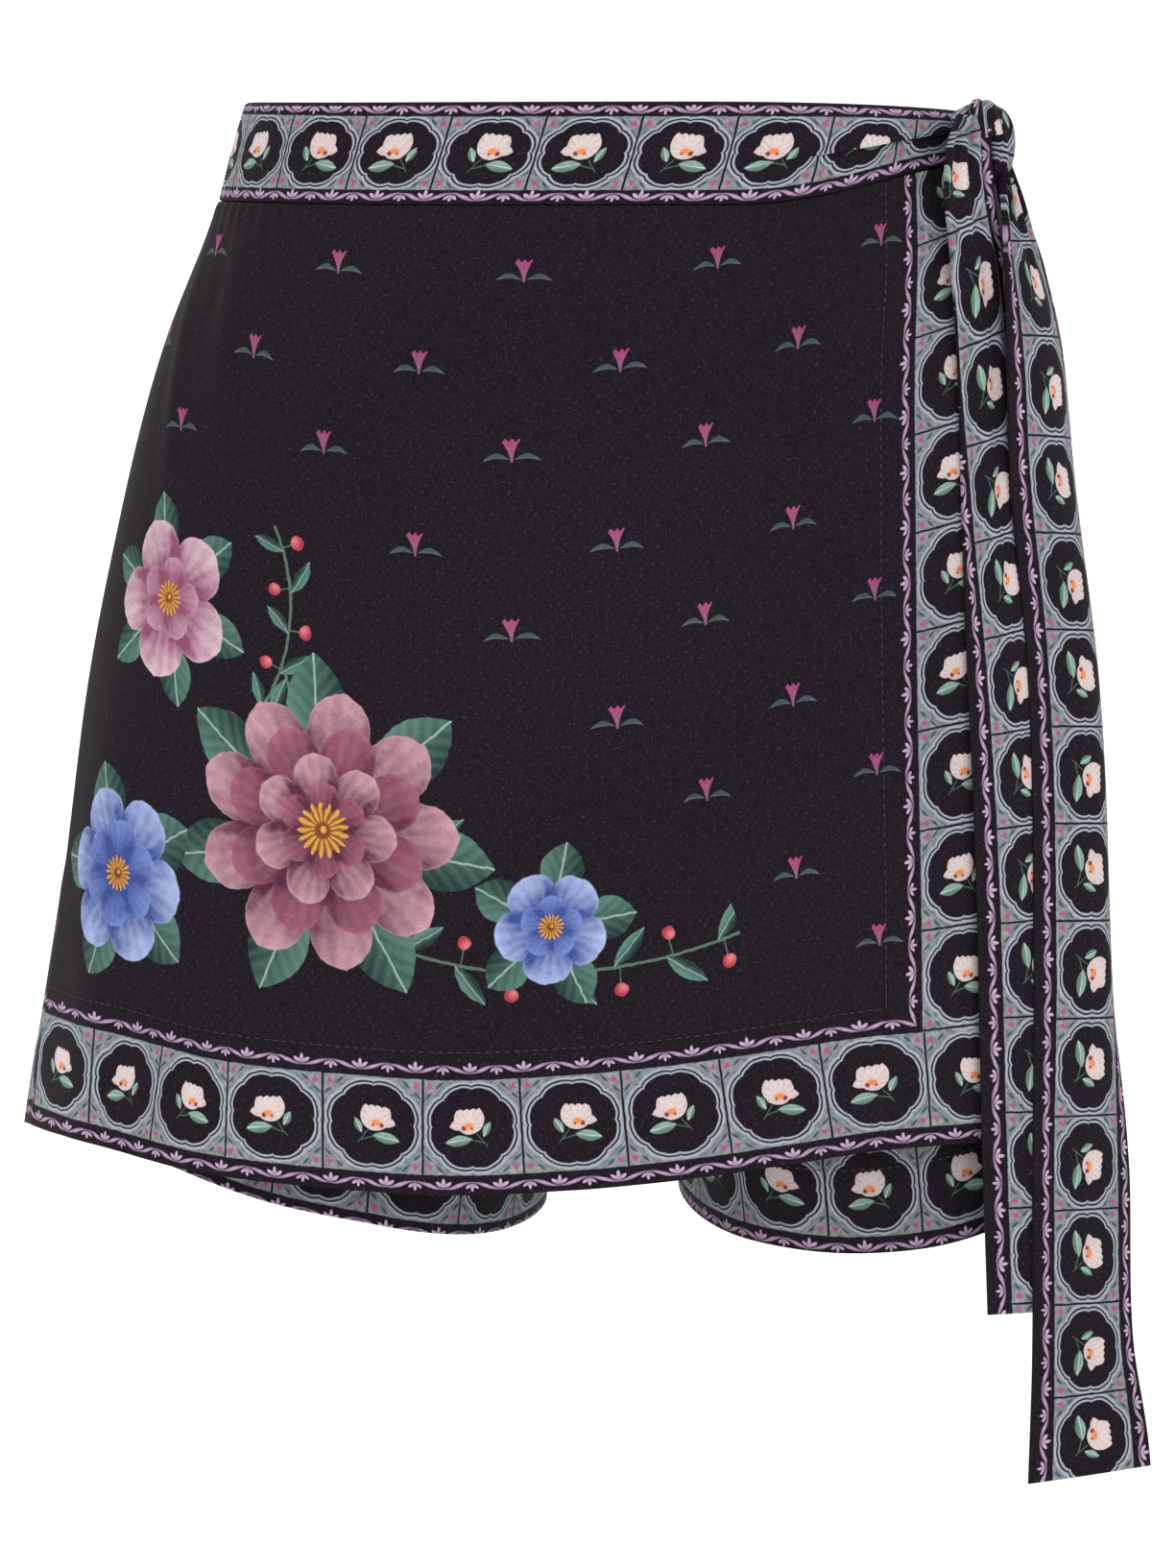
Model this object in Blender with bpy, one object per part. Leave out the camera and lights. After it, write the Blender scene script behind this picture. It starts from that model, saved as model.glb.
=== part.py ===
"""A wrap skort, filled out as if worn: shorts under one sewn-in wrap panel, tied at the right hip.

Metres, +Z up. The front faces -Y, and +X is the right as the front is looked at. The origin is the
middle of the waist, level with the top edge of the waistband at the left side. Every piece of cloth
is a wall on the same round body form, whose girths are in a table below. Angles go round the body
from +X, so the front is at -90 degrees, the left side at 180 and the back at 90.
"""

import math
from collections import namedtuple

import bmesh
import bpy
from mathutils import Vector

MM = 0.001

# Cloth walls, and how far the band's outer face stands off the shorts
PANEL_CLOTH = 1.2 * MM
BAND_CLOTH = 3.0 * MM
BAND_PROUD = 2.1 * MM
TIE_CLOTH = 1.6 * MM
TIE_GATHERED_CLOTH = 3.0 * MM

# The gaps that keep the pieces apart. The pulled gap is added where the band's foot runs slanted.
SEAM_GAP = 0.3 * MM
WAIST_GAP = 0.5 * MM
PULLED_GAP = 3.2 * MM
WRAP_GAP = 0.7 * MM

# The body form: the outer face of the shorts, in millimetres, from the waist down
Girth = namedtuple("Girth", "height left right front back")
GIRTHS = (
    Girth(10, -130, 127, 92, 95),
    Girth(-38, -144, 143, 98, 101),
    Girth(-90, -165, 159, 108, 115),
    Girth(-143, -179, 167, 114, 126),
    Girth(-209, -191, 174, 118, 130),
    Girth(-290, -202, 179, 120, 126),
    Girth(-373, -215, 184, 123, 121),
    Girth(-440, -221, 186, 124, 118),
)
ROUNDNESS = 2.3

# The waistband: a tilted ring, pulled narrow where it runs into the knot. Its top edge is at level
# on the whole, and rises by right towards +X, by back towards +Y and by twist towards the corners.
BandTop = namedtuple("BandTop", "level right back twist")
BAND_TOP = BandTop(-3.5, -3.5, 6.5, -0.9)
BAND_AT_SIDES = 33.1 * MM
BAND_AT_MIDDLE = 35.6 * MM
KNOT_ANGLE = math.radians(-24)
KNOT_PINCH = 20 * MM
PINCH_DIP = 3.5 * MM
PINCH_FLAT = math.radians(8)
PINCH_FRONT = math.radians(45)
PINCH_BACK = math.radians(28)
FRONT_BAND_END = math.radians(-20)

# The seams, and how far the legs part and turn round the inside
LEFT_SEAM_TOP = math.radians(4)
LEFT_SEAM_HEM = math.radians(12)
LEFT_SEAM_END = -390 * MM
RIGHT_SEAM = math.radians(4)
RISE_START = -212 * MM
CROTCH = -288 * MM
LEG_SPREAD = 24 * MM
CROTCH_ROUND = 44 * MM
HEM_ROUND = 62 * MM
LEG_ROUNDNESS = 2.4
CORNER_AT_WAIST = 0.2
CORNER_AT_LEG = 0.42

# Heights of the leg hems, in millimetres, from the inside leg (0) round to the side seam (1)
LegHem = namedtuple("LegHem", "along left_front right_front left_back right_back")
LEG_HEMS = (
    LegHem(0.0, -398, -396, -398, -396),
    LegHem(0.25, -410, -409, -400, -402),
    LegHem(0.5, -403, -414, -396, -400),
    LegHem(0.75, -377, -396, -384, -392),
    LegHem(1.0, -371, -385, -371, -385),
)

# The wrap panel: its hem, its free edge and how far it hangs off the shorts, in millimetres.
# Across is 0 at the left side seam and 1 at the free edge. It is held close over the held share.
WrapHem = namedtuple("WrapHem", "across height")
WRAP_HEMS = (
    WrapHem(0.0, -371),
    WrapHem(0.1, -374),
    WrapHem(0.25, -386),
    WrapHem(0.5, -391.5),
    WrapHem(0.75, -387.5),
    WrapHem(1.0, -376),
)
WrapFall = namedtuple("WrapFall", "height free_edge flare")
WRAP_FALLS = (
    WrapFall(-20, 131, 0),
    WrapFall(-60, 136, 0),
    WrapFall(-120, 138.5, 0),
    WrapFall(-209, 140.5, 1),
    WrapFall(-300, 141, 5),
    WrapFall(-395, 140, 10),
)
EDGE_FLARE = 0.3
HELD_SHARE = 1 / 3
FOLD_EASE = 1 / 6
WRAP_FOLDS = 5
FOLD_DEPTH = 1.4 * MM
FOLD_TOP = -190 * MM
FOLD_REACH = 200 * MM

# The two ties hang from the knot over the right hip. Left is the tie's edge nearer the middle,
# clear is its distance off the wrap panel, and hang is 0 where the tie lies round the hip and 1
# where it falls straight, turned by yaw from facing the front. Millimetres and degrees. Ties across
# is where they lie on the wrap panel, from 0 at its seam to 1 at its free edge.
TIES_ACROSS = 0.9
TieRow = namedtuple("TieRow", "height left clear width hang yaw")
SHORT_TIE = (
    TieRow(-12, 123, 13.8, 13, 1.0, 35),
    TieRow(-24, 119, 12.2, 20, 1.0, 36),
    TieRow(-40, 118, 9.0, 25, 1.0, 39),
    TieRow(-66, 120, 4.0, 34, 0.5, 43),
    TieRow(-115, 124, 1.0, 44, 0.0, 44),
    TieRow(-183, 126, 0.9, 45, 0.0, 40),
    TieRow(-312, 129, 0.9, 45, 0.0, 34),
    TieRow(-380, 131, 2.0, 45, 0.3, 33),
    TieRow(-436, 132, 4.0, 45, 1.0, 28),
)
LONG_TIE = (
    TieRow(-33, 139.6, 11.4, 8, 1.0, 55),
    TieRow(-48, 141.3, 13.2, 18, 1.0, 57),
    TieRow(-66, 142, 12.4, 29, 0.8, 59),
    TieRow(-97, 143, 8.6, 40, 0.5, 60),
    TieRow(-140, 145, 5.6, 45, 0.5, 58),
    TieRow(-209, 147, 4.6, 45, 0.9, 51),
    TieRow(-315, 149, 4.8, 45, 1.0, 43),
    TieRow(-385, 148, 7.5, 45, 1.0, 36),
    TieRow(-449, 147, 11.0, 45, 1.0, 28),
    TieRow(-495, 145, 12.5, 45, 1.0, 12),
)

# The knot, a folded bead outside the band: its middle, and half its reach along the band and off it
KNOT_MIDDLE = Vector((133.2, -53.6, -21.0)) * MM
KNOT_ALONG = 12.5 * MM
KNOT_OFF = 7.0 * MM
KNOT_TALL = 15.5 * MM
KNOT_TAPER = 0.18
KNOT_CREASE = 0.16
CREASE_TURN, CREASE_LEAN, CREASE_WIDTH = 0.9, 0.5, 0.35

# How finely the walls are cut
PANEL_COLUMNS = 12
WAIST_ROWS, RISE_ROWS, LEG_ROWS = 8, 5, 5
WRAP_COLUMNS, WRAP_ROWS = 26, 16
BAND_ROWS, FRONT_BAND_COLUMNS, BACK_BAND_COLUMNS = 3, 22, 30
TIE_COLUMNS, TIE_ROWS, TIE_BUNCHING = 6, 24, 1.25
NUDGE = 0.01

# The cloth's looks
PRINT_GROUND = (0.022, 0.017, 0.022)
BORDER_GROUND = (0.115, 0.145, 0.155)
CLOTH_ROUGHNESS = 0.85
SHARP_TURN = math.radians(50)


def clear_scene():
    for old in list(bpy.data.objects):
        bpy.data.objects.remove(old, do_unlink=True)


def blend(a, b, share):
    return a + (b - a) * share


def ease(share):
    """0 to 1, level at both ends."""
    share = min(max(share, 0.0), 1.0)
    return share * share * (3 - 2 * share)


def read_row(rows, key, value):
    """The table's other columns at a value of its first one, on a smooth curve through the rows."""
    keys = [getattr(row, key) for row in rows]
    falling = keys[0] > keys[-1]
    value = min(max(value, min(keys)), max(keys))
    last = len(rows) - 2
    k = next((i for i in range(last) if (value >= keys[i + 1]) == falling), last)
    before, after = rows[max(k - 1, 0)], rows[min(k + 2, len(rows) - 1)]
    a, b = rows[k], rows[k + 1]
    span = getattr(b, key) - getattr(a, key)
    t = (value - getattr(a, key)) / span
    found = {}
    for name in a._fields:
        run_a = getattr(b, key) - getattr(before, key)
        run_b = getattr(after, key) - getattr(a, key)
        slope_a = (getattr(b, name) - getattr(before, name)) / run_a * span
        slope_b = (getattr(after, name) - getattr(a, name)) / run_b * span
        found[name] = (
            (2 * t**3 - 3 * t**2 + 1) * getattr(a, name)
            + (t**3 - 2 * t**2 + t) * slope_a
            + (3 * t**2 - 2 * t**3) * getattr(b, name)
            + (t**3 - t**2) * slope_b
        )
    return type(a)(**found)


def bulge(value, power):
    return math.copysign(abs(value) ** power, value)


def body_form(z):
    """Middle, half width, front depth and back depth of the body form at a height, in metres."""
    girth = read_row(GIRTHS, "height", z / MM)
    middle = (girth.left + girth.right) / 2 * MM
    half = (girth.right - girth.left) / 2 * MM
    return middle, half, girth.front * MM, girth.back * MM


def on_body(angle, z, out=0.0):
    middle, half, front, back = body_form(z)
    depth = front if math.sin(angle) < 0 else back
    x = middle + (half + out) * bulge(math.cos(angle), 2 / ROUNDNESS)
    y = (depth + out) * bulge(math.sin(angle), 2 / ROUNDNESS)
    return Vector((x, y, z))


def angle_at(x, z, out=0.0):
    """How far round from +X the body form reaches x, as an angle without its sign."""
    middle, half, _, _ = body_form(z)
    share = min(max((x - middle) / (half + out), -1.0), 1.0)
    return math.acos(bulge(share, ROUNDNESS / 2))


def knot_pull(angle):
    """1 at the knot, falling to 0 along the band on both sides of it."""
    away = math.remainder(angle - KNOT_ANGLE, math.tau)
    reach = PINCH_BACK if away > 0 else PINCH_FRONT
    return 1 - ease((abs(away) - PINCH_FLAT) / reach)


def band_top(angle):
    """The top edge dips at the front and at the knot, and stands highest at the back."""
    edge = BAND_TOP.level + BAND_TOP.right * math.cos(angle) + BAND_TOP.back * math.sin(angle)
    edge += BAND_TOP.twist * math.sin(2 * angle)
    return edge * MM - PINCH_DIP * knot_pull(angle)


def band_bottom(angle):
    height = blend(BAND_AT_SIDES, BAND_AT_MIDDLE, math.sin(angle) ** 2)
    return band_top(angle) - height + KNOT_PINCH * knot_pull(angle)


def left_seam(z):
    """How far the left side seam stands to the front of the side, as an angle."""
    waist = band_bottom(math.pi)
    return blend(LEFT_SEAM_TOP, LEFT_SEAM_HEM, min((z - waist) / (LEFT_SEAM_END - waist), 1.0))


def add_cloth(name, cloth, colour):
    """Turn a finished bmesh into a named object with its own cloth material."""
    mesh = bpy.data.meshes.new(name)
    cloth.to_mesh(mesh)
    cloth.free()
    mesh.shade_smooth()
    mesh.set_sharp_from_angle(angle=SHARP_TURN)
    piece = bpy.data.objects.new(name, mesh)
    bpy.context.scene.collection.objects.link(piece)
    fabric = bpy.data.materials.new(name)
    fabric.use_nodes = True
    shader = fabric.node_tree.nodes["Principled BSDF"]
    shader.inputs["Base Color"].default_value = (*colour, 1)
    shader.inputs["Roughness"].default_value = CLOTH_ROUGHNESS
    shader.inputs["Metallic"].default_value = 0.0
    mesh.materials.append(fabric)


def lay_wall(name, outer, inner, colour, flipped=False):
    """A closed wall of cloth between two equal grids of points, an outer face and an inner one.

    Both are cut into triangles the same way, so that the wall keeps its thickness where it twists.
    """
    cloth = bmesh.new()
    for rows, turned in ((outer, flipped), (inner, not flipped)):
        grid = [[cloth.verts.new(point) for point in row] for row in rows]
        for upper, lower in zip(grid, grid[1:]):
            for a, b, c, d in zip(upper, lower, lower[1:], upper[1:]):
                for corners in ((a, b, c), (a, c, d)):
                    cloth.faces.new(reversed(corners) if turned else corners)
    bmesh.ops.bridge_loops(cloth, edges=[edge for edge in cloth.edges if edge.is_boundary])
    bmesh.ops.recalc_face_normals(cloth, faces=cloth.faces)
    add_cloth(name, cloth, colour)


def inset(rows, thickness, flipped=False):
    """The rows moved level into the cloth, square to each row. Thickness is one for each row."""
    moved = []
    for row, depth in zip(rows, thickness):
        runs = [after - before for before, after in zip(row, row[2:])]
        first = (row[1] - row[0]) * 2 - runs[0] / 2
        last = (row[-1] - row[-2]) * 2 - runs[-1] / 2
        into = depth if flipped else -depth
        squares = [Vector((run.y, -run.x, 0)).normalized() for run in (first, *runs, last)]
        moved.append([point + square * into for point, square in zip(row, squares)])
    return moved


def leg_levels():
    """One entry for each row of a shorts panel: its zone, and its share of the way down it."""
    waist = [("waist", k / WAIST_ROWS) for k in range(WAIST_ROWS)]
    rise = [("rise", k / RISE_ROWS) for k in range(RISE_ROWS)]
    return waist + rise + [("leg", k / LEG_ROWS) for k in range(LEG_ROWS + 1)]


def side_turn(side, face, z):
    """The side seam's angle for one panel, measured the short way from +X, past it at the back."""
    seam = left_seam(z) if side < 0 else RIGHT_SEAM
    seam -= face * SEAM_GAP / 2 / body_form(z)[2]
    return math.pi + face * seam if side < 0 else -face * seam


def corner_share(parted):
    """How much of a panel's width turns round the inside leg."""
    return blend(CORNER_AT_WAIST, CORNER_AT_LEG, parted)


def panel_turn(side, face, along, z, inner, radius, parted):
    """A panel point's unsigned angle, and how much of the body's depth it has there.

    The first stretch turns round the inside leg, and the rest follows the body to the side seam.
    """
    turned = corner_share(parted)
    if along >= turned:
        start = angle_at(side * (inner + radius), z)
        return blend(start, side_turn(side, face, z), (along - turned) / (1 - turned)), 1.0
    corner = along / turned * math.pi / 2
    x = inner + radius * (1 - math.cos(corner))
    return angle_at(side * x, z), blend(1.0, bulge(math.sin(corner), 2 / LEG_ROUNDNESS), parted)


def shorts_top(side, face, along):
    """The waist seam above this part of the panel."""
    level = band_bottom(math.pi)
    turn, _ = panel_turn(side, face, along, level, SEAM_GAP / 2, CROTCH_ROUND, 0.0)
    pull = knot_pull(face * turn)
    return band_bottom(face * turn) - WAIST_GAP - PULLED_GAP * pull * (1 - pull)


def shorts_point(side, face, along, zone, down):
    """A point of one shorts panel. Side and face are -1 for left and front, 1 for right and back.

    Along runs from the middle seam or the inside leg to the side seam. Parted is 0 where the two
    halves meet at the middle, and 1 where the inside leg has turned to meet the other face.
    """
    inner, radius = SEAM_GAP / 2, CROTCH_ROUND
    if zone == "waist":
        z, parted = blend(shorts_top(side, face, along), RISE_START, down), 0.0
    elif zone == "rise":
        z = blend(RISE_START, CROTCH, math.sin(down * math.pi / 2))
        parted = 1 - math.cos(down * math.pi / 2)
    else:
        column = ("left" if side < 0 else "right") + ("_front" if face < 0 else "_back")
        hem = getattr(read_row(LEG_HEMS, "along", along), column) * MM
        z, parted = blend(CROTCH, hem, down), 1.0
        inner += LEG_SPREAD * ease(down)
        radius = blend(CROTCH_ROUND, HEM_ROUND, down)
    turn, depth = panel_turn(side, face, along, z, inner, radius, parted)
    point = on_body(face * turn, z)
    if depth < 1:
        point.y = face * max(abs(point.y) * depth, SEAM_GAP / 2)
    return point


def make_shorts():
    for side, face in ((-1, -1), (1, -1), (-1, 1), (1, 1)):
        name = "shorts_" + ("front" if face < 0 else "back") + ("_left" if side < 0 else "_right")
        rows = [
            [shorts_point(side, face, k / PANEL_COLUMNS, *level) for k in range(PANEL_COLUMNS + 1)]
            for level in leg_levels()
        ]
        flipped = side * face > 0
        inner = inset(rows, [PANEL_CLOTH] * len(rows), flipped)
        lay_wall(name, rows, inner, PRINT_GROUND, flipped)


def wrap_angle(across, z):
    free_edge = read_row(WRAP_FALLS, "height", z / MM).free_edge * MM
    return blend(left_seam(z) - math.pi, -angle_at(free_edge, z), across)


def wrap_off(across, z):
    """How far the wrap panel's inner face hangs off the shorts."""
    flare = read_row(WRAP_FALLS, "height", z / MM).flare * MM
    held = ease(across / HELD_SHARE)
    loose = blend(held * EDGE_FLARE, 1.0, math.sin(math.pi * across) * held)
    fold = 0.5 - 0.5 * math.cos(across * WRAP_FOLDS * math.tau)
    fold *= ease((FOLD_TOP - z) / FOLD_REACH) * ease(across / FOLD_EASE) * ease((1 - across) / FOLD_EASE)
    return WRAP_GAP + flare * loose + FOLD_DEPTH * fold


def wrap_point(across, down, thickness):
    hem = read_row(WRAP_HEMS, "across", across).height * MM
    z = CROTCH
    for _ in range(3):
        z = blend(band_bottom(wrap_angle(across, z)) - WAIST_GAP, hem, down)
    return on_body(wrap_angle(across, z), z, wrap_off(across, z) + thickness)


def make_wrap():
    outer, inner = (
        [
            [wrap_point(k / WRAP_COLUMNS, row / WRAP_ROWS, thickness) for k in range(WRAP_COLUMNS + 1)]
            for row in range(WRAP_ROWS + 1)
        ]
        for thickness in (PANEL_CLOTH, 0.0)
    )
    lay_wall("overlay_panel", outer, inner, PRINT_GROUND)


def band_rows(start, end, columns, out):
    angles = [blend(start, end, k / columns) for k in range(columns + 1)]
    return [
        [on_body(a, blend(band_top(a), band_bottom(a), row / BAND_ROWS), out) for a in angles]
        for row in range(BAND_ROWS + 1)
    ]


def make_bands():
    half_gap = SEAM_GAP / 2 / body_form(0)[2]
    seam = LEFT_SEAM_TOP - math.pi
    for name, start, end, columns in (
        ("waistband_front", seam, FRONT_BAND_END, FRONT_BAND_COLUMNS),
        ("waistband_back", FRONT_BAND_END, seam + math.tau, BACK_BAND_COLUMNS),
    ):
        outer, inner = (
            band_rows(start + half_gap, end - half_gap, columns, out)
            for out in (BAND_PROUD, BAND_PROUD - BAND_CLOTH)
        )
        lay_wall(name, outer, inner, BORDER_GROUND)


def tie_row(row, columns):
    """The tie's outer face across one height, from the edge nearer the middle."""
    z = row.height * MM
    level = max(z, min(hem.height for hem in WRAP_HEMS) * MM)
    out = wrap_off(TIES_ACROSS, level) + PANEL_CLOTH + row.clear * MM + TIE_CLOTH
    angle = -angle_at(row.left * MM, level, out)
    wrapped = on_body(angle, level, out)
    straight = wrapped.copy()
    step = row.width * MM / columns
    heading = Vector((math.cos(math.radians(row.yaw)), math.sin(math.radians(row.yaw)), 0))
    points = []
    for _ in range(columns + 1):
        point = wrapped.lerp(straight, row.hang)
        point.z = z
        points.append(point)
        nearby = on_body(angle + NUDGE, level, out)
        angle += NUDGE * step / (nearby - wrapped).length
        wrapped = on_body(angle, level, out)
        straight = straight + heading * step
    return points


def make_tie(name, table):
    top, bottom = table[0], table[-1]
    rows, thickness = [], []
    for k in range(TIE_ROWS + 1):
        row = read_row(table, "height", blend(top.height, bottom.height, (k / TIE_ROWS) ** TIE_BUNCHING))
        rows.append(tie_row(row, TIE_COLUMNS))
        opened = ease((row.width - top.width) / (bottom.width - top.width))
        thickness.append(blend(TIE_GATHERED_CLOTH, TIE_CLOTH, opened))
    lay_wall(name, rows, inset(rows, thickness), BORDER_GROUND)


def make_knot():
    """A rounded bead of folded cloth: the tie's turn over the front, creased beside its loop."""
    bead = bmesh.new()
    bmesh.ops.create_uvsphere(bead, u_segments=20, v_segments=14, radius=1.0)
    band = on_body(KNOT_ANGLE + NUDGE, 0) - on_body(KNOT_ANGLE - NUDGE, 0)
    along = Vector((band.x, band.y, 0)).normalized()
    off = Vector((along.y, -along.x, 0))
    for vert in bead.verts:
        turn, up = math.atan2(vert.co.y, vert.co.x), vert.co.z
        off_crease = (turn - CREASE_TURN - CREASE_LEAN * up) / CREASE_WIDTH
        size = (1 - KNOT_CREASE * math.exp(-off_crease**2)) * (1 - KNOT_TAPER * max(-up, 0) ** 2)
        spread = Vector((vert.co.x, vert.co.y)) * size
        place = off * spread.y * KNOT_OFF - along * spread.x * KNOT_ALONG
        vert.co = KNOT_MIDDLE + place + Vector((0, 0, up * KNOT_TALL))
    add_cloth("knot", bead, BORDER_GROUND)


def main():
    clear_scene()
    make_shorts()
    make_wrap()
    make_bands()
    make_tie("tie_short", SHORT_TIE)
    make_tie("tie_long", LONG_TIE)
    make_knot()


main()
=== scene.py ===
import math
import bpy
import numpy as np
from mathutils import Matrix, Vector


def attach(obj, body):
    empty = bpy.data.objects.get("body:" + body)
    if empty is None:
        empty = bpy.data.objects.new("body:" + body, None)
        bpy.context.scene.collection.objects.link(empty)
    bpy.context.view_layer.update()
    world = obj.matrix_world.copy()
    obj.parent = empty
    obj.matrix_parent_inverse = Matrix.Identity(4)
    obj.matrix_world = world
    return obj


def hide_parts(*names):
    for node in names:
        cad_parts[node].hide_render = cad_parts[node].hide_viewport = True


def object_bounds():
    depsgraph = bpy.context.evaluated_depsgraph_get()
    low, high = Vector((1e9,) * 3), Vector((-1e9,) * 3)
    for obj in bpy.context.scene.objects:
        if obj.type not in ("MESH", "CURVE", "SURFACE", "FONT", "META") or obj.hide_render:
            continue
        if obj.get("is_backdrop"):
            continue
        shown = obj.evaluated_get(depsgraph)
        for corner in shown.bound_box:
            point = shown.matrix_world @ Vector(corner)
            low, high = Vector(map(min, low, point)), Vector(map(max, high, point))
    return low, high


# A wrap skort in a bordered floral print, filled out as if worn and tied at the right hip.
# Metres, +Z up, the front faces -Y. The pieces follow the sections of the frame's solids.

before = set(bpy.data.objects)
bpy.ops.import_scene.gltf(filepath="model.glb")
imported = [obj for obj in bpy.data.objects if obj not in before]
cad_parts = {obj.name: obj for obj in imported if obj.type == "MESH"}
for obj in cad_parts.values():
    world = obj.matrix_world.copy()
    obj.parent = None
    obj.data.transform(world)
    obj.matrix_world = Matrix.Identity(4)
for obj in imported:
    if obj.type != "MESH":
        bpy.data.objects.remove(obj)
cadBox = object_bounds()
mm = 0.001
detail = 1.0  # share of the full number of cells each way


# Tables and smooth curves
def table(*rows):
    return np.array(rows, dtype=float)


def ease(share):  # 0 to 1, level at both ends
    share = np.clip(share, 0.0, 1.0)
    return share * share * (3 - 2 * share)


def blend(a, b, share):
    return a + (b - a) * share


def readRows(rows, key):  # the other columns on a smooth curve at key
    rows = rows[np.argsort(rows[:, 0])]
    keys = rows[:, 0]
    key = np.clip(np.asarray(key, dtype=float), keys[0], keys[-1])
    k = np.clip(np.searchsorted(keys, key, side="right") - 1, 0, len(keys) - 2)
    before, after = np.maximum(k - 1, 0), np.minimum(k + 2, len(keys) - 1)
    span = (keys[k + 1] - keys[k])[..., None]
    t = (key - keys[k])[..., None] / span
    slopeA = (rows[k + 1] - rows[before]) / (keys[k + 1] - keys[before])[..., None] * span
    slopeB = (rows[after] - rows[k]) / (keys[after] - keys[k])[..., None] * span
    found = (2 * t**3 - 3 * t**2 + 1) * rows[k] + (t**3 - 2 * t**2 + t) * slopeA
    found += (3 * t**2 - 2 * t**3) * rows[k + 1] + (t**3 - t**2) * slopeB
    return np.moveaxis(found, -1, 0)[1:]


def bulge(value, power):
    return np.sign(value) * np.abs(value) ** power


def bump(value, middle, width):  # a soft ridge, 1 at its middle
    return np.exp(-(((value - middle) / width) ** 2))


# The body the cloth is filled on
body = {
    "girths": table(  # height, left, right, front, back
        (10, -129.5, 127, 92, 95), (-38, -142.5, 143, 98, 101), (-90, -162, 159, 108, 115),
        (-143, -176.5, 167, 114, 126), (-209, -190, 174, 118, 130), (-290, -202, 179, 120, 126),
        (-373, -215, 184, 123, 121), (-440, -221, 186, 124, 118)),
    "roundness": 2.3,
}


def bodyForm(z):
    left, right, front, back = readRows(body["girths"], z / mm) * mm
    return (left + right) / 2, (right - left) / 2, front, back


def onBody(angle, z, out=0.0):
    angle, z, out = np.broadcast_arrays(angle, z, out)
    middle, half, front, back = bodyForm(z)
    depth = np.where(np.sin(angle) < 0, front, back)
    power = 2 / body["roundness"]
    x = middle + (half + out) * bulge(np.cos(angle), power)
    y = (depth + out) * bulge(np.sin(angle), power)
    return np.stack([x, y, z], axis=-1)


def angleAt(x, z, out=0.0):  # how far round from +X, without its sign
    middle, half = bodyForm(np.asarray(z, dtype=float))[:2]
    share = np.clip((x - middle) / (half + out), -1.0, 1.0)
    return np.arccos(np.clip(bulge(share, body["roundness"] / 2), -1.0, 1.0))


# The waistband's run
band = {
    "level": -3.1, "right": -2.5, "back": 6.5, "twist": -1.4,  # mm
    "atSides": 36.0 * mm, "atMiddle": 37.2 * mm, "proud": 2.1 * mm, "cloth": 3.0 * mm,
    "knotAngle": math.radians(-24), "pinch": 15.2 * mm, "dip": 0.6 * mm,
    "flat": math.radians(8), "frontReach": math.radians(45), "backReach": math.radians(28),
    "frontEnd": math.radians(-20), "leftSeam": math.radians(4) - math.pi,
}
seams = {
    "gap": 0.05 * mm, "waistGap": 0.15 * mm, "pulledGap": 3.2 * mm,
    "leftTop": math.radians(4), "leftHem": math.radians(17), "leftEnd": -390 * mm,
    "right": math.radians(4), "underBand": 0.6 * mm,
}


def knotPull(angle):  # 1 at the knot, 0 away from it
    away = (angle - band["knotAngle"] + math.pi) % math.tau - math.pi
    reach = np.where(away > 0, band["backReach"], band["frontReach"])
    return 1 - ease((np.abs(away) - band["flat"]) / reach)


def bandTop(angle):
    edge = band["level"] + band["right"] * np.cos(angle) + band["back"] * np.sin(angle)
    edge = edge + band["twist"] * np.sin(2 * angle)
    return edge * mm - band["dip"] * knotPull(angle)


def bandHeight(angle):  # the cloth's own height, before it folds
    return blend(band["atSides"], band["atMiddle"], np.sin(angle) ** 2)


def bandBottom(angle):
    return bandTop(angle) - bandHeight(angle) + band["pinch"] * knotPull(angle)


def leftSeam(z):
    waist = float(bandBottom(np.array(math.pi)))
    share = np.minimum((z - waist) / (seams["leftEnd"] - waist), 1.0)
    return blend(seams["leftTop"], seams["leftHem"], share)


# Grids of cloth
def selectOnly(*pieces):  # the first one is active
    for item in bpy.context.selected_objects:
        item.select_set(False)
    for piece in reversed(pieces):
        piece.select_set(True)
        bpy.context.view_layer.objects.active = piece


def editAll(piece, step, **settings):  # one edit on all of a piece's cells
    selectOnly(piece)
    bpy.ops.object.mode_set(mode="EDIT")
    bpy.ops.mesh.select_all(action="SELECT")
    step(**settings)
    bpy.ops.object.mode_set(mode="OBJECT")
    piece.select_set(False)


def readAll(items, key, kind=np.int32, wide=1):  # one value of every item, in rows where wide
    found = np.empty(len(items) * wide, dtype=kind)
    items.foreach_get(key, found)
    return found.reshape(-1, wide) if wide > 1 else found


def readAt(places, keys, values):  # the rows of values where keys has the places
    return np.stack([np.interp(places, keys, column) for column in values.T], axis=-1)


def unit(ways):
    return ways / np.maximum(np.linalg.norm(ways, axis=-1, keepdims=True), 1e-12)


def lengthAlong(points, axis):  # metres run so far along rows or columns
    steps = np.linalg.norm(np.diff(points, axis=axis), axis=2)
    start = np.zeros_like(np.take(steps, [0], axis=axis))
    return np.concatenate([start, np.cumsum(steps, axis=axis)], axis=axis)


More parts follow.
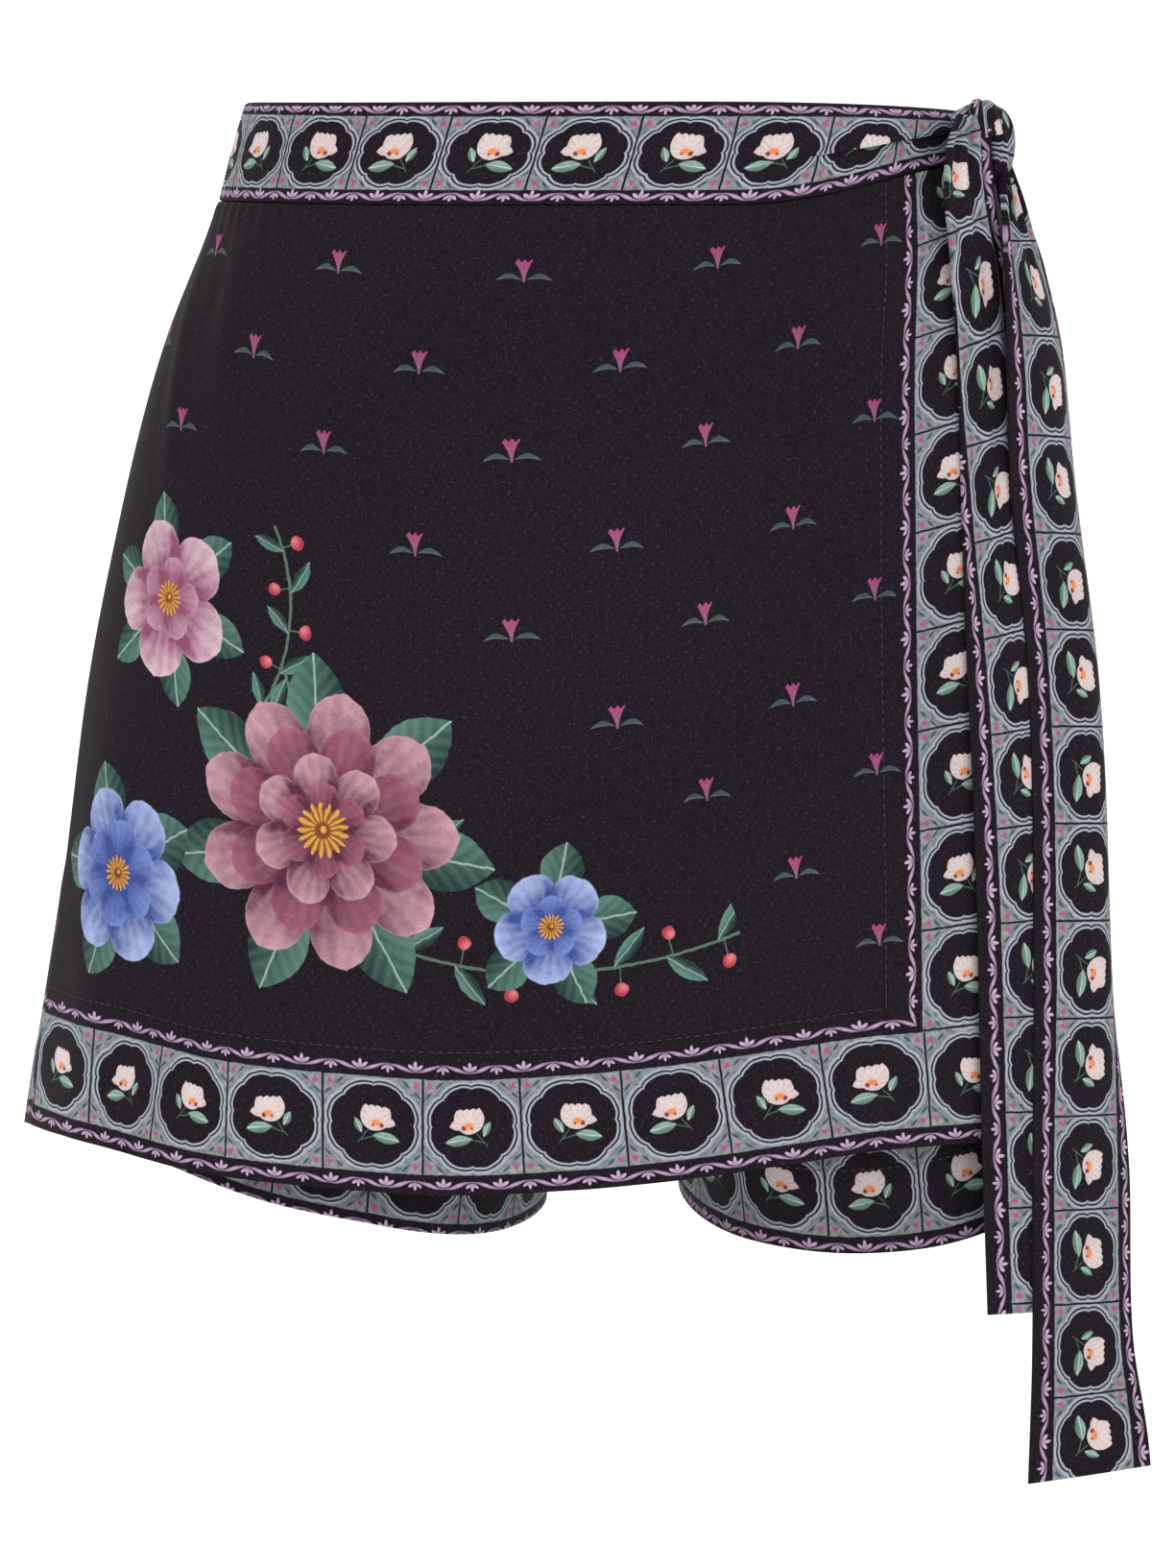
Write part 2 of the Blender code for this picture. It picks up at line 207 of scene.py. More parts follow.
def layCloth(name, materials, points, maps, slots=None):  # a grid of rows and columns, faces out
    rows, columns = points.shape[0] - 1, points.shape[1] - 1
    bpy.ops.mesh.primitive_grid_add(x_subdivisions=columns, y_subdivisions=rows, size=1)
    piece = bpy.context.object
    piece.name = name
    mesh = piece.data
    mesh.name = name
    for material in materials:
        mesh.materials.append(material)
    spots = readAll(mesh.vertices, "co", np.float32, 3)
    column = np.rint((spots[:, 0] + 0.5) * columns).astype(int)
    row = np.rint((0.5 - spots[:, 1]) * rows).astype(int)
    mesh.vertices.foreach_set("co", points[row, column].astype(np.float32).ravel())
    corners = readAll(mesh.loops, "vertex_index")
    while mesh.uv_layers:
        mesh.uv_layers.remove(mesh.uv_layers[0])
    for mapName, values in maps.items():
        layer = mesh.uv_layers.new(name=mapName)
        layer.data.foreach_set("uv", values[row, column][corners].astype(np.float32).ravel())
    if slots is not None:  # a material number for each cell
        first = (line[corners].reshape(-1, 4).min(axis=1) for line in (row, column))
        mesh.polygons.foreach_set("material_index", slots[tuple(first)])
    mesh.update()
    return piece


def bakeMap(points, right=0.84):  # the piece's own flat map, for its finish
    rows, columns = points.shape[0], points.shape[1]
    across, down = np.meshgrid(np.linspace(0, 1, columns), np.linspace(0, 1, rows))
    return np.stack([across * right * 0.98 + 0.01, 0.99 - 0.98 * down], axis=-1)


def paired(a, b):
    return np.stack(np.broadcast_arrays(a, b), axis=-1)


def applyModifier(piece, kind, **settings):
    bpy.context.view_layer.objects.active = piece
    modifier = piece.modifiers.new(kind.title(), kind)
    for key, value in settings.items():
        setattr(modifier, key, value)
    bpy.ops.object.modifier_apply(modifier=modifier.name)


def thicken(piece, cloth):  # the wrong side takes the last material
    slotCount = len(piece.data.materials)
    applyModifier(piece, "SOLIDIFY", thickness=cloth, offset=-1.0, use_even_offset=False,
                  material_offset=slotCount - 1, use_rim=True)
    mesh = piece.data
    numbers, totals = (readAll(mesh.polygons, key) for key in ("material_index", "loop_total"))
    layer = mesh.uv_layers["OFBake"]
    flat = readAll(layer.data, "uv", np.float32, 2)
    inner = np.repeat(numbers == slotCount - 1, totals)
    flat[inner, 0] = 0.86 + flat[inner, 0] / 0.84 * 0.13
    layer.data.foreach_set("uv", flat.ravel())
    smooth(piece)


def smooth(piece, turn=50):
    selectOnly(piece)
    bpy.ops.object.shade_smooth_by_angle(angle=math.radians(turn))
    piece.select_set(False)


def standsFor(piece, node):  # the node that the piece shows in its place
    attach(piece, "root")
    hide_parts(node)


def rowNormals(points):  # level, square to each row
    runs = np.gradient(points, axis=1)
    return unit(np.stack([runs[..., 1], -runs[..., 0], 0 * runs[..., 0]], axis=-1))


def fanned(x, y, drags, start, rise, end, fall):  # folds that fan from a point, over a ring
    reach = np.hypot(x, y)
    heading = np.degrees(np.arctan2(y, np.maximum(x, 0.1)))
    fan = sum(depth * bump(heading, turn, width) for turn, width, depth in drags)
    return fan * ease((reach - start) / rise) * (1 - ease((reach - end) / fall))


def stitched(off, raised, sunk, furrow=0.0):  # thicker cloth below a seam, a furrow along it
    return raised * (1 - ease((off + 0.9) / 1.8)) - sunk * bump(off, furrow, 0.9)


# The wrap panel
overlay = {
    "cloth": 1.2 * mm, "gap": 0.7 * mm, "columns": 190, "rows": 168,
    "hems": table(  # share from the left seam, height
        (0, -372), (0.1, -374.8), (0.184, -377.7), (0.25, -381.3), (0.34, -386.8), (0.45, -390.5),
        (0.55, -392.3), (0.646, -388.4), (0.77, -381), (0.85, -377.3), (1, -375.3)),
    "falls": table(  # height, free edge, flare
        (-20, 131, 0), (-60, 136, 0), (-120, 138.5, 0), (-209, 140.5, 1),
        (-300, 141, 5), (-395, 140, 10)),
    "edgeFlare": 0.3, "heldShare": 1 / 3, "foldEase": 1 / 6, "folds": 5,
    "foldDepth": 1.4 * mm, "foldTop": -190 * mm, "foldReach": 200 * mm, "firstGuess": -288 * mm,
    "sprigLift": 3.8, "sprigDrop": 0.3, "sprigPull": 5.5,  # mm, how the sprigs' rows bow, dip, part
    "facing": (56.5, 49.4),  # mm, where edge and hem are stitched down
    "borderZone": 50.5,  # mm, cells nearer an edge carry the border
    "knot": (2.0, 345.0),  # mm, from the free edge and up from the hem
    # soft folds that fan from the knot: direction below level in degrees, width, depth in mm
    "drags": ((9, 3.4, 0.9), (19, 4.2, 1.3), (33, 5.0, 1.0), (52, 6.0, 1.2), (66, 4.5, 0.6)),
    "dragRing": (22, 40, 95, 130),  # mm: they start, over, end, over
    # soft upright folds: from the free edge, half width, depth, top and foot above the hem, in mm
    "troughs": (
        (104, 9, 1.5, 352, 215), (121, 6, -0.8, 350, 250), (196, 15, 0.9, 350, 190),
        (268, 8, 0.7, 352, 262), (302, 7, 1.1, 352, 235), (318, 5, -0.8, 350, 262),
        (333, 6, 1.2, 350, 205), (158, 20, 1.0, 190, 0), (243, 17, 1.2, 170, 0),
        (300, 14, -0.9, 140, 0), (352, 16, 1.3, 215, 0), (92, 13, 0.9, 150, 0)),
    "puckers": (7.3, 0.34, 11.0),  # mm: spacing, height, reach below the seam
}


def wrapAngle(across, z):
    freeEdge = readRows(overlay["falls"], z / mm)[0] * mm
    return blend(leftSeam(z) - math.pi, -angleAt(freeEdge, z), across)


def wrapOff(across, z):
    flare = readRows(overlay["falls"], z / mm)[1] * mm
    held = ease(across / overlay["heldShare"])
    loose = blend(held * overlay["edgeFlare"], 1.0, np.sin(math.pi * across) * held)
    fold = 0.5 - 0.5 * np.cos(across * overlay["folds"] * math.tau)
    fold = fold * ease((overlay["foldTop"] - z) / overlay["foldReach"])
    fold = fold * ease(across / overlay["foldEase"]) * ease((1 - across) / overlay["foldEase"])
    return overlay["gap"] + flare * loose + overlay["foldDepth"] * fold


def wrapSpots(across, down):  # angle and height of each point
    hem = readRows(overlay["hems"], across)[0] * mm
    z = np.full(np.broadcast(across, down).shape, overlay["firstGuess"])
    for _ in range(3):
        top = bandBottom(wrapAngle(across, z)) - seams["waistGap"]
        z = blend(top, hem, down)
    return wrapAngle(across, z), z


def overlayRelief(u, v, below):  # mm off the smooth form, all sizes in mm
    knotU, knotV = overlay["knot"]
    relief = fanned(u - knotU, knotV - v, overlay["drags"], *overlay["dragRing"])
    for place, width, depth, top, foot in overlay["troughs"]:
        along = ease((top - v) / 60) * ease((v - foot) / 70) if foot else ease((top - v) / 110)
        sway = place + 5 * np.sin(v / 47 + place)
        relief = relief + depth * bump(u, sway, width) * along
    relief = relief + 0.35 * np.sin(u / 23 + 1.7 * np.sin(v / 61)) * np.sin(v / 38 + 0.6)
    relief = relief * ease((u - 52) / 40)  # flat under the ties
    spacing, height, reachDown = overlay["puckers"]
    wave = np.sin(u / spacing * math.tau + 1.4 * np.sin(u / 19) + 0.7 * np.sin(u / 6.1))
    gathers = height * (0.4 + wave) * np.exp(-((below / reachDown) ** 2))
    relief = relief + gathers * ease(below / 1.5)
    sewn = np.minimum(u - overlay["facing"][0], v - overlay["facing"][1])
    return relief + stitched(sewn, 0.3, 0.22, 0.2)


def overlayGrid():
    columns, rows = round(overlay["columns"] * detail), round(overlay["rows"] * detail)
    across, down = np.meshgrid(np.linspace(0, 1, columns + 1), np.linspace(0, 1, rows + 1))
    angle, z = wrapSpots(across, down)
    off = wrapOff(across, z) + overlay["cloth"]
    smoothForm = onBody(angle, z, off)
    u = lengthAlong(smoothForm[:, ::-1], 1)[:, ::-1]
    v = lengthAlong(smoothForm[::-1], 0)[::-1]
    below = v[:1] - v
    relief = overlayRelief(u / mm, v / mm, below / mm)
    return onBody(angle, z, off + relief * mm), u, v


def bouquetZone(u, v):  # mm: where the spray of flowers is printed
    top = np.interp(u, (70, 101, 134, 167, 200, 233, 262), (80, 93, 124, 155, 186, 217, 248))
    return (u > 70) & (v < top) & (v > overlay["borderZone"])


def cellMiddles(values):
    return (values[:-1, :-1] + values[1:, :-1] + values[:-1, 1:] + values[1:, 1:]) / 4


def hemMap(points, u):  # along the hem, and square to it
    hem = points[-1]
    heading = unit(-np.gradient(hem, axis=0))
    reach = points - hem[None]
    aside = np.sum(reach * heading[None], axis=-1)
    up = np.sqrt(np.maximum(np.sum(reach ** 2, axis=-1) - aside ** 2, 0))
    return paired(u[-1:] + aside, up)


def sprigMap(u, v):  # the sprigs' rows, eased as the cloth lies
    bow = overlay["sprigLift"] * (1 - ((v / mm - 200) / 125) ** 2)
    shift = overlay["sprigPull"] * bump(u / mm, 145, 48) * mm
    return paired(u + shift, v + (bow - overlay["sprigDrop"] * bump(u / mm, 55, 35)) * mm)


def makeOverlay(*materials):
    points, u, v = overlayGrid()
    middleU, middleV = cellMiddles(u) / mm, cellMiddles(v) / mm
    slots = np.where(bouquetZone(middleU, middleV), 2, 1)
    slots[np.minimum(middleU, middleV) < overlay["borderZone"]] = 0
    piece = layCloth("wrapPanel", materials, points, {
        "print": paired(u, v), "hemPrint": hemMap(points, u), "sprigPrint": sprigMap(u, v),
        "OFBake": bakeMap(points),
    }, slots.astype(np.int32))
    thicken(piece, overlay["cloth"])
    return piece, points, u, v


# The shorts
shorts = {
    "cloth": 1.2 * mm, "columns": 66, "waistRows": 66, "riseRows": 30, "legRows": 44,
    "riseStart": -212 * mm, "crotch": -288 * mm, "legSpread": 24 * mm,
    "crotchRound": 44 * mm, "hemRound": 62 * mm, "legRoundness": 2.4,
    "cornerAtWaist": 0.2, "cornerAtLeg": 0.42,
    "hems": table(  # along, both fronts, both backs, left first
        (0.0, -401, -396, -398, -396), (0.25, -408, -410.5, -400, -402),
        (0.5, -398.5, -413, -396, -400), (0.75, -378, -395, -382, -392),
        (0.88, -373.5, -389, -374.5, -387.5), (1.0, -372, -385, -372, -385)),
    "hemStitch": 30.0,  # mm above the leg's edge
    "borderZone": 50.5, "printPitch": 35.0,  # mm
    # mm, how far the print is shifted outwards and how much of it the hem takes up
    "printShift": {"shortsFrontLeft": (-10.8, 5.0), "shortsFrontRight": (3.5, 2.7),
                   "shortsBackLeft": (0.0, 0.0), "shortsBackRight": (0.0, 0.0)},
    # soft folds on the back: from the middle seam, half width, depth, top and foot below the waist
    "backFolds": (
        (22, 9, 1.0, 200, 330), (58, 12, -0.9, 215, 350), (97, 10, 1.2, 190, 350),
        (132, 8, -0.7, 90, 260), (150, 9, 1.0, 60, 240), (40, 7, 0.6, 8, 80), (86, 6, 0.5, 6, 70)),
    # soft folds that run up and out from the crotch: direction above level, width, depth
    "drags": ((8, 5, 1.1), (24, 6, 1.3), (43, 6, 0.9), (64, 7, 0.7)),
    "dragRing": (18, 30, 60, 90), "forkBelow": 255,  # mm
}


def sideTurn(side, face, z):
    seam = leftSeam(z) if side < 0 else np.full_like(z, seams["right"])
    seam = seam - face * seams["gap"] / 2 / bodyForm(z)[2]
    return math.pi + face * seam if side < 0 else -face * seam


def panelTurn(side, face, along, z, inner, radius, parted):
    cornerEnd = blend(shorts["cornerAtWaist"], shorts["cornerAtLeg"], parted)
    start = angleAt(side * (inner + radius), z)
    wide = blend(start, sideTurn(side, face, z), (along - cornerEnd) / (1 - cornerEnd))
    corner = np.clip(along / cornerEnd, 0, 1) * math.pi / 2
    x = inner + radius * (1 - np.cos(corner))
    rounding = blend(1.0, np.abs(np.sin(corner)) ** (2 / shorts["legRoundness"]), parted)
    beyond = along >= cornerEnd
    return np.where(beyond, wide, angleAt(side * x, z)), np.where(beyond, 1.0, rounding)


def shortsGrid(side, face):
    columns = round(shorts["columns"] * detail)
    counts = [round(shorts[key] * detail) for key in ("waistRows", "riseRows", "legRows")]
    along = np.linspace(0, 1, columns + 1)[None]
    waist = np.linspace(0, 1, counts[0], endpoint=False)[:, None]
    rise = np.linspace(0, 1, counts[1], endpoint=False)[:, None] * math.pi / 2
    leg = np.linspace(0, 1, counts[2] + 1)[:, None]
    level = np.full_like(along, float(bandBottom(np.array(math.pi))))
    gap = seams["gap"] / 2
    turn = panelTurn(side, face, along, level, gap, shorts["crotchRound"], 0 * along)[0]
    pull = knotPull(face * turn)
    top = bandBottom(face * turn) + seams["underBand"] - seams["pulledGap"] * pull * (1 - pull)
    hem = readRows(shorts["hems"], along)[(side > 0) + 2 * (face > 0)] * mm
    z = np.vstack([
        blend(top, shorts["riseStart"], waist),
        blend(shorts["riseStart"], shorts["crotch"], np.sin(rise)) + 0 * along,
        blend(shorts["crotch"], hem, leg),
    ])
    parted = np.vstack([0 * waist, 1 - np.cos(rise), 0 * leg + 1])
    legDown = np.vstack([0 * waist, 0 * rise, leg])
    inner = gap + shorts["legSpread"] * ease(legDown)
    radius = blend(shorts["crotchRound"], shorts["hemRound"], legDown)
    return z, panelTurn(side, face, along, z, inner, radius, parted)


def shortsRelief(side, face, u, below, corner):  # mm, on the parts that the wrap leaves bare
    relief = 0.3 * np.sin(u / 17 + side) * np.sin(below / 29)
    if face > 0:
        for place, width, depth, top, foot in shorts["backFolds"]:
            run = ease((below - top) / 40) * ease((foot - below) / 50)
            relief = relief + depth * bump(u + 6 * np.sin(below / 40 + side), place, width) * run
        rise = shorts["forkBelow"] - below
        relief = relief + fanned(u, rise, shorts["drags"], *shorts["dragRing"])
    return relief * corner


def makeShorts(side, face, *materials):
    name = "shorts" + ("Front" if face < 0 else "Back") + ("Left" if side < 0 else "Right")
    z, (turn, depth) = shortsGrid(side, face)
    plain = onBody(face * turn, z)
    bent = np.maximum(np.abs(plain[..., 1]) * depth, seams["gap"] / 2) * face
    plain[..., 1] = np.where(depth < 1, bent, plain[..., 1])
    u = lengthAlong(plain, 1)
    v = lengthAlong(plain[::-1], 0)[::-1]
    below = v[:1] - v
    free = ease(u / mm / 14) * ease((u[:, -1:] - u) / mm / 14) * (depth >= 1)
    relief = shortsRelief(side, face, u / mm, below / mm, free) * mm
    relief = relief + stitched(v / mm - shorts["hemStitch"], 0.25, 0.2) * mm
    if face < 0:
        relief = np.minimum(relief, 0.2 * mm)  # the wrap lies close over the front
    points = onBody(face * turn, z, relief)
    points[..., 1] = np.where(depth < 1, plain[..., 1], points[..., 1])
    shift, drop = shorts["printShift"][name]
    if side < 0 < face:  # half a flower meets the wrap's at the seam
        shift = shorts["printPitch"] * 9.55 - u[-1, -1] / mm
    level = z - np.mean(z[-1])  # above the border the print lies level
    tall = v + (level - v) * ease((v / mm - 52) / 80)
    fromSide = u - u[:, -1:] + u[-1, -1]  # and true to the side seam
    maps = {"print": paired(fromSide + shift * mm, tall + drop * mm), "OFBake": bakeMap(points)}
    slots = np.where(cellMiddles(v) / mm < shorts["borderZone"], 0, 1).astype(np.int32)
    if side * face > 0:  # keep the faces out on every panel
        points, slots = points[:, ::-1], slots[:, ::-1]
        maps = {key: values[:, ::-1] for key, values in maps.items()}
    piece = layCloth(name, materials, points, maps, slots)
    thicken(piece, shorts["cloth"])
    return piece, points, maps["print"][..., 1] - drop * mm


# The waistband
waistband = {
    "faceRows": 44, "backRows": 10, "turnRows": 5, "cell": 1.25 * mm, "crown": 0.5 * mm,
    "layer": 0.9 * mm,  # from each layer of the fold to the next
    # which share of what shows lies above the fold, at the knot and off it
    "foldAt": (0.39, 0.64), "foldRise": math.radians(25), "foldSoft": 1.7 * mm,
    "foldClear": 2.6 * mm, "topEase": 2.4 * mm,  # from the top edge to the fold, to its full height
}


def softStep(value, width):
    return ease(value / width + 0.5)


def bandSection(height, pull, foldAt):  # rows of (drop, out, run) for each column
    count = round(waistband["faceRows"] * detail)
    edge = band["cloth"] / 2
    lap = band["pinch"] * pull / 2  # how deep the cloth doubles back
    first = np.maximum(foldAt * (height - 2 * lap), lap + waistband["foldClear"])
    run = edge + (height - 2 * edge) * np.linspace(0, 1, count + 1)[:, None]
    soft = waistband["foldSoft"]
    doubled = softStep(run - first, soft) - softStep(run - first - lap, soft)
    step = (height - 2 * edge) / count
    drop = edge + np.concatenate([np.zeros_like(pull)[None], np.cumsum(
        (1 - 2 * (doubled[1:] + doubled[:-1]) / 2) * step, axis=0)])
    drop = edge + (drop - edge) * (height - 2 * lap - 2 * edge) / np.maximum(drop[-1] - edge, 1e-6)
    lift = waistband["layer"] * ease(lap / (3 * mm))
    out = lift * (2 - softStep(run - first, soft) - softStep(run - first - lap, soft))
    into = run - edge
    out = out * ease(into / waistband["topEase"])
    out = out + waistband["crown"] * np.sin(math.pi * into / (height - 2 * edge))
    return drop, out, run


def bandGrid(start, end):
    length = 0.11 * abs(end - start)
    columns = round(length / waistband["cell"] * detail)
    angle = np.linspace(start, end, columns + 1)[None]
    height, pull = bandHeight(angle)[0], knotPull(angle)[0]
    away = np.abs((angle[0] - band["knotAngle"] + math.pi) % math.tau - math.pi)
    foldAt = blend(*waistband["foldAt"], 1 - np.exp(-away / waistband["foldRise"]))
    drop, out, run = bandSection(height, pull, foldAt)
    edge = band["cloth"] / 2
    seen = height - band["pinch"] * pull
    turns = np.linspace(0, math.pi, waistband["turnRows"] + 1)[1:, None] + 0 * seen
    back = np.linspace(0, 1, waistband["backRows"] + 1)[1:, None] + 0 * seen
    foot, flat = seen - edge, edge * np.sin(turns)
    drop = np.vstack([drop, foot + flat, blend(foot, edge, back), edge - flat])
    rounded = edge * (1 - np.cos(turns))
    out = np.vstack([out, -rounded, -2 * edge + 0 * back, rounded - 2 * edge])
    flatRun = np.vstack([
        run, height + flat, height + edge + (seen - 2 * edge) * back, -0.5 * flat])
    z = bandTop(angle) - drop
    points = onBody(angle, z, band["proud"] + out)
    middle = onBody(angle, bandTop(angle) - seen / 2, band["proud"])
    along = np.broadcast_to(lengthAlong(middle, 1), drop.shape)
    slots = np.zeros(drop.shape, dtype=np.int32)
    slots[len(run) + waistband["turnRows"] - 1:-waistband["turnRows"] - 1] = 1
    return points, along, height - flatRun, slots[:-1, :-1]


def closeTube(piece):  # sew the last row to the first, cap the ends
    mesh = piece.data
    editAll(piece, bpy.ops.mesh.remove_doubles, threshold=0.02 * mm)
    sewn = len(mesh.loops)
    editAll(piece, bpy.ops.mesh.fill_holes, sides=0)
    corners = readAll(mesh.loops, "vertex_index")
    known = np.zeros(len(mesh.vertices), dtype=int)
    known[corners[:sewn]] = np.arange(sewn)
    for layer in mesh.uv_layers:  # a cap takes its map from its rim
        flat = readAll(layer.data, "uv", np.float32, 2)
        flat[sewn:] = flat[known[corners[sewn:]]]
        layer.data.foreach_set("uv", flat.ravel())


def makeBand(name, start, end, *materials):
    points, along, across, slots = bandGrid(start, end)
    maps = {"print": paired(along, across), "OFBake": bakeMap(points, 1.0)}
    piece = layCloth(name, materials, points, maps, slots)
    closeTube(piece)
    smooth(piece)
    return piece


# The ties
ties = {
    "cloth": 1.6 * mm, "gathered": 3.0 * mm, "across": 0.9, "cells": 34, "cell": 1.3 * mm,
    "nudge": 0.01, "edgePower": 14, "printWidth": 44.5, "steps": 48,
    # height, left edge, clear of the wrap, width, hang, yaw, how much of the print is tucked away
    "short": table(
        (-12, 123, 13.8, 13, 1.0, 35, 29), (-24, 119, 12.2, 19, 1.0, 38, 22),
        (-40, 118, 9.0, 23.5, 1.0, 42, 17), (-66, 120, 4.0, 28.5, 0.5, 47, 9.5),
        (-115, 122.5, 1.0, 29.5, 0.0, 44, 7.5), (-160, 123.5, 0.9, 31.5, 0.0, 42, 3.5),
        (-200, 124.5, 0.9, 35.5, 0.0, 40, 0.8), (-264, 127, 0.9, 40.5, 0.0, 36, 0),
        (-312, 128.4, 0.9, 44, 0.0, 34, 0), (-380, 129.6, 2.0, 45, 0.3, 33, 0),
        (-436, 131, 4.0, 45, 1.0, 28, 0)),
    "long": table(
        (-27, 139.0, 10.5, 6, 1.0, 62, 33), (-48, 139.8, 13.0, 20, 1.0, 63, 15),
        (-66, 139.8, 12.6, 31, 0.8, 61, 5), (-97, 140.0, 9.2, 41, 0.5, 57, 1.5),
        (-140, 141.2, 6.2, 45, 0.5, 53, 0), (-209, 147, 5.4, 45, 0.9, 50, 0),
        (-315, 148.6, 5.4, 45, 1.0, 43, 0), (-385, 148, 7.5, 45, 1.0, 38, 0),
        (-449, 147, 11.0, 45, 1.0, 34, 0), (-495, 145, 12.5, 45, 1.0, 12, 0)),
    "endSlant": {"short": 1.5, "long": 5.5},  # mm, how much higher the end's right corner is
    "held": {"short": 1.0, "long": 0.5},  # which part of the cloth shows where gathered
    "bulge": {"short": 3.8, "long": 1.2},  # mm, how far the middle stands off
    "roll": {"short": 24.0, "long": 62.0},  # degrees, how the far edge turns away
    "pleats": 3.2, "pleatDepth": 1.3,  # mm, of the gathers under the knot
    # soft creases: place across, how far it sways over which run, width, depth, where it fades; mm
    "creases": ((14, 4, 50, 5, 0.5, 120), (31, 3, 38, 4, -0.6, 90)),
    # how the print runs: first rising line and slant for each mm, then where it is drawn out, how far
    "slant": {"short": (69, 0.001), "long": (380, 0.001)},
    "drawn": {"short": (384.5, 7.0), "long": (420, 2.0)},
    "drawnIn": {"short": (209, 0.026), "long": (131, 0.047)},  # below which run, how much
}


def tieFace(kind, z):  # the outer face, from the edge nearer the middle
    rows, steps = ties[kind], ties["steps"]
    left, clear, width, hang, yaw, tucked = readRows(rows, z / mm)
    level = np.maximum(z, overlay["hems"][:, 1].min() * mm)
    out = wrapOff(ties["across"], level) + overlay["cloth"] + clear * mm + ties["cloth"]
    angle = -angleAt(left * mm, level, out)
    wrapped = onBody(angle, level, out)
    straight = wrapped.copy()
    step = width * mm / steps
    turn = np.radians(yaw)
    roll = np.radians(ties["roll"][kind]) * ease((z / mm + 400) / 90) * ease((-z / mm - 60) / 60)
    standing = ties["bulge"][kind] * ease((width - 8) / 37) * mm
    face = []
    for k in range(steps + 1):
        point = blend(wrapped, straight, hang[:, None])
        stand = standing * np.sin(math.pi * k / steps)
        point[:, 0] += np.sin(turn) * stand
        point[:, 1] -= np.cos(turn) * stand
        point[:, 2] = z
        face.append(point)
        nearby = onBody(angle + ties["nudge"], level, out)
        angle = angle + ties["nudge"] * step / np.linalg.norm(nearby - wrapped, axis=1)
        wrapped = onBody(angle, level, out)
        facing = turn + roll * (ease((k / steps - 0.45) / 0.55) - 0.22)
        heading = np.stack([np.cos(facing), np.sin(facing), 0 * facing], axis=-1)
        straight = straight + heading * step[:, None]
    return np.stack(face, axis=1), width, (ties["printWidth"] - tucked) / width


def makeTie(name, kind, *materials):
    rows = ties[kind]
    top, foot = rows[0, 0] * mm, rows[-1, 0] * mm
    count = round((top - foot) / ties["cell"] * detail)
    z = np.linspace(top, foot, count + 1)
    z = np.concatenate([z[:-1], foot + np.array([0.7, 0.3, 0.08, 0.0]) * mm])
    cells, steps = round(ties["cells"] * detail), ties["steps"]
    face, width, spread = tieFace(kind, z)
    section = np.linspace(0, math.tau, 2 * cells + 1)  # round the flat tube, from its left edge
    share = 0.5 - 0.5 * np.cos(section)
    spot = share * steps
    k = np.minimum(spot.astype(int), steps - 1)
    f = (spot - k)[None, :, None]
    sheet, square = (blend(grid[:, k], grid[:, k + 1], f) for grid in (face, rowNormals(face)))
    opened = ease((width - width[0]) / (45 - width[0]))[:, None]
    thick = blend(ties["gathered"], ties["cloth"], opened)
    power = ties["edgePower"]
    rim = (1 - np.abs(2 * share - 1) ** power) ** (1 / power)
    fromFoot = (z - foot)[:, None]
    fade = np.sqrt(np.clip(1 - (1 - np.clip(fromFoot / (0.8 * mm), 0, 1)) ** 2, 0, 1))
    side = np.where(section <= math.pi, 1.0, -1.0)
    across = share[None] * width[:, None]
    pleats = ties["pleats"] * math.tau * across / width[:, None]
    pleats = (1 - opened) * ties["pleatDepth"] * np.sin(pleats + 0.8)
    down = (z[0] - z)[:, None] / mm
    for place, sway, period, wide, deep, fall in ties["creases"]:
        crease = bump(across, place + sway * np.sin(down / period), wide)
        pleats = pleats + deep * crease * np.exp(-down / fall)
    waves = 0.5 * np.sin(down / 31 + across / 30) * ease(down / 80)
    depth = (pleats + waves) * mm - thick / 2 + side * rim * thick / 2 * fade
    points = sheet + square * depth[..., None]
    points[..., 2] += ties["endSlant"][kind] * mm * share[None] * ease(1 - fromFoot / 0.06)
    run = (z - foot)[:, None] + 0 * across
    anchor = ties["held"][kind]
    printed = ties["printWidth"] * anchor + (across - width[:, None] * anchor) * spread[:, None]
    start, growth = ties["slant"][kind]
    rise = np.clip((run / mm - start) * growth, 0, 0.33) * (printed - ties["printWidth"] / 2)
    drawnAt, drawn = ties["drawn"][kind]
    below, drawnIn = ties["drawnIn"][kind]
    rise = rise + drawn * bump(run / mm, drawnAt, 30) + drawnIn * np.maximum(below - run / mm, 0)
    run = run - rise * mm
    maps = {"print": paired(run, printed * mm), "OFBake": bakeMap(points, 1.0)}
    piece = layCloth(name, materials, points, maps)
    closeTube(piece)
    smooth(piece)
    return piece


# Arithmetic in a material's nodes
def setInputs(tree, node, inputs):  # a link for a wire or socket, else a plain value
    for key, value in inputs.items():
        slot, value = node.inputs[key], getattr(value, "socket", value)
        if isinstance(value, bpy.types.NodeSocket):
            tree.links.new(value, slot)
        elif isinstance(value, tuple):  # a colour or a vector, filled up with 1
            slot.default_value = (*value, 1)[:len(slot.default_value)]
        else:
            slot.default_value = value


def addNode(tree, kind, inputs, **settings):
    node = tree.nodes.new("ShaderNode" + kind)
    for key, value in settings.items():
        setattr(node, key, value)
    setInputs(tree, node, inputs)
    return node


def calc(operation, *values, clamp=False):
    tree = next(value.tree for value in values if isinstance(value, Wire))
    node = addNode(tree, "Math", dict(enumerate(values)), operation=operation, use_clamp=clamp)
    return Wire(tree, node.outputs[0])


def operator(operation, swapped=False):
    def run(self, other):
        return calc(operation, other, self) if swapped else calc(operation, self, other)
    return run


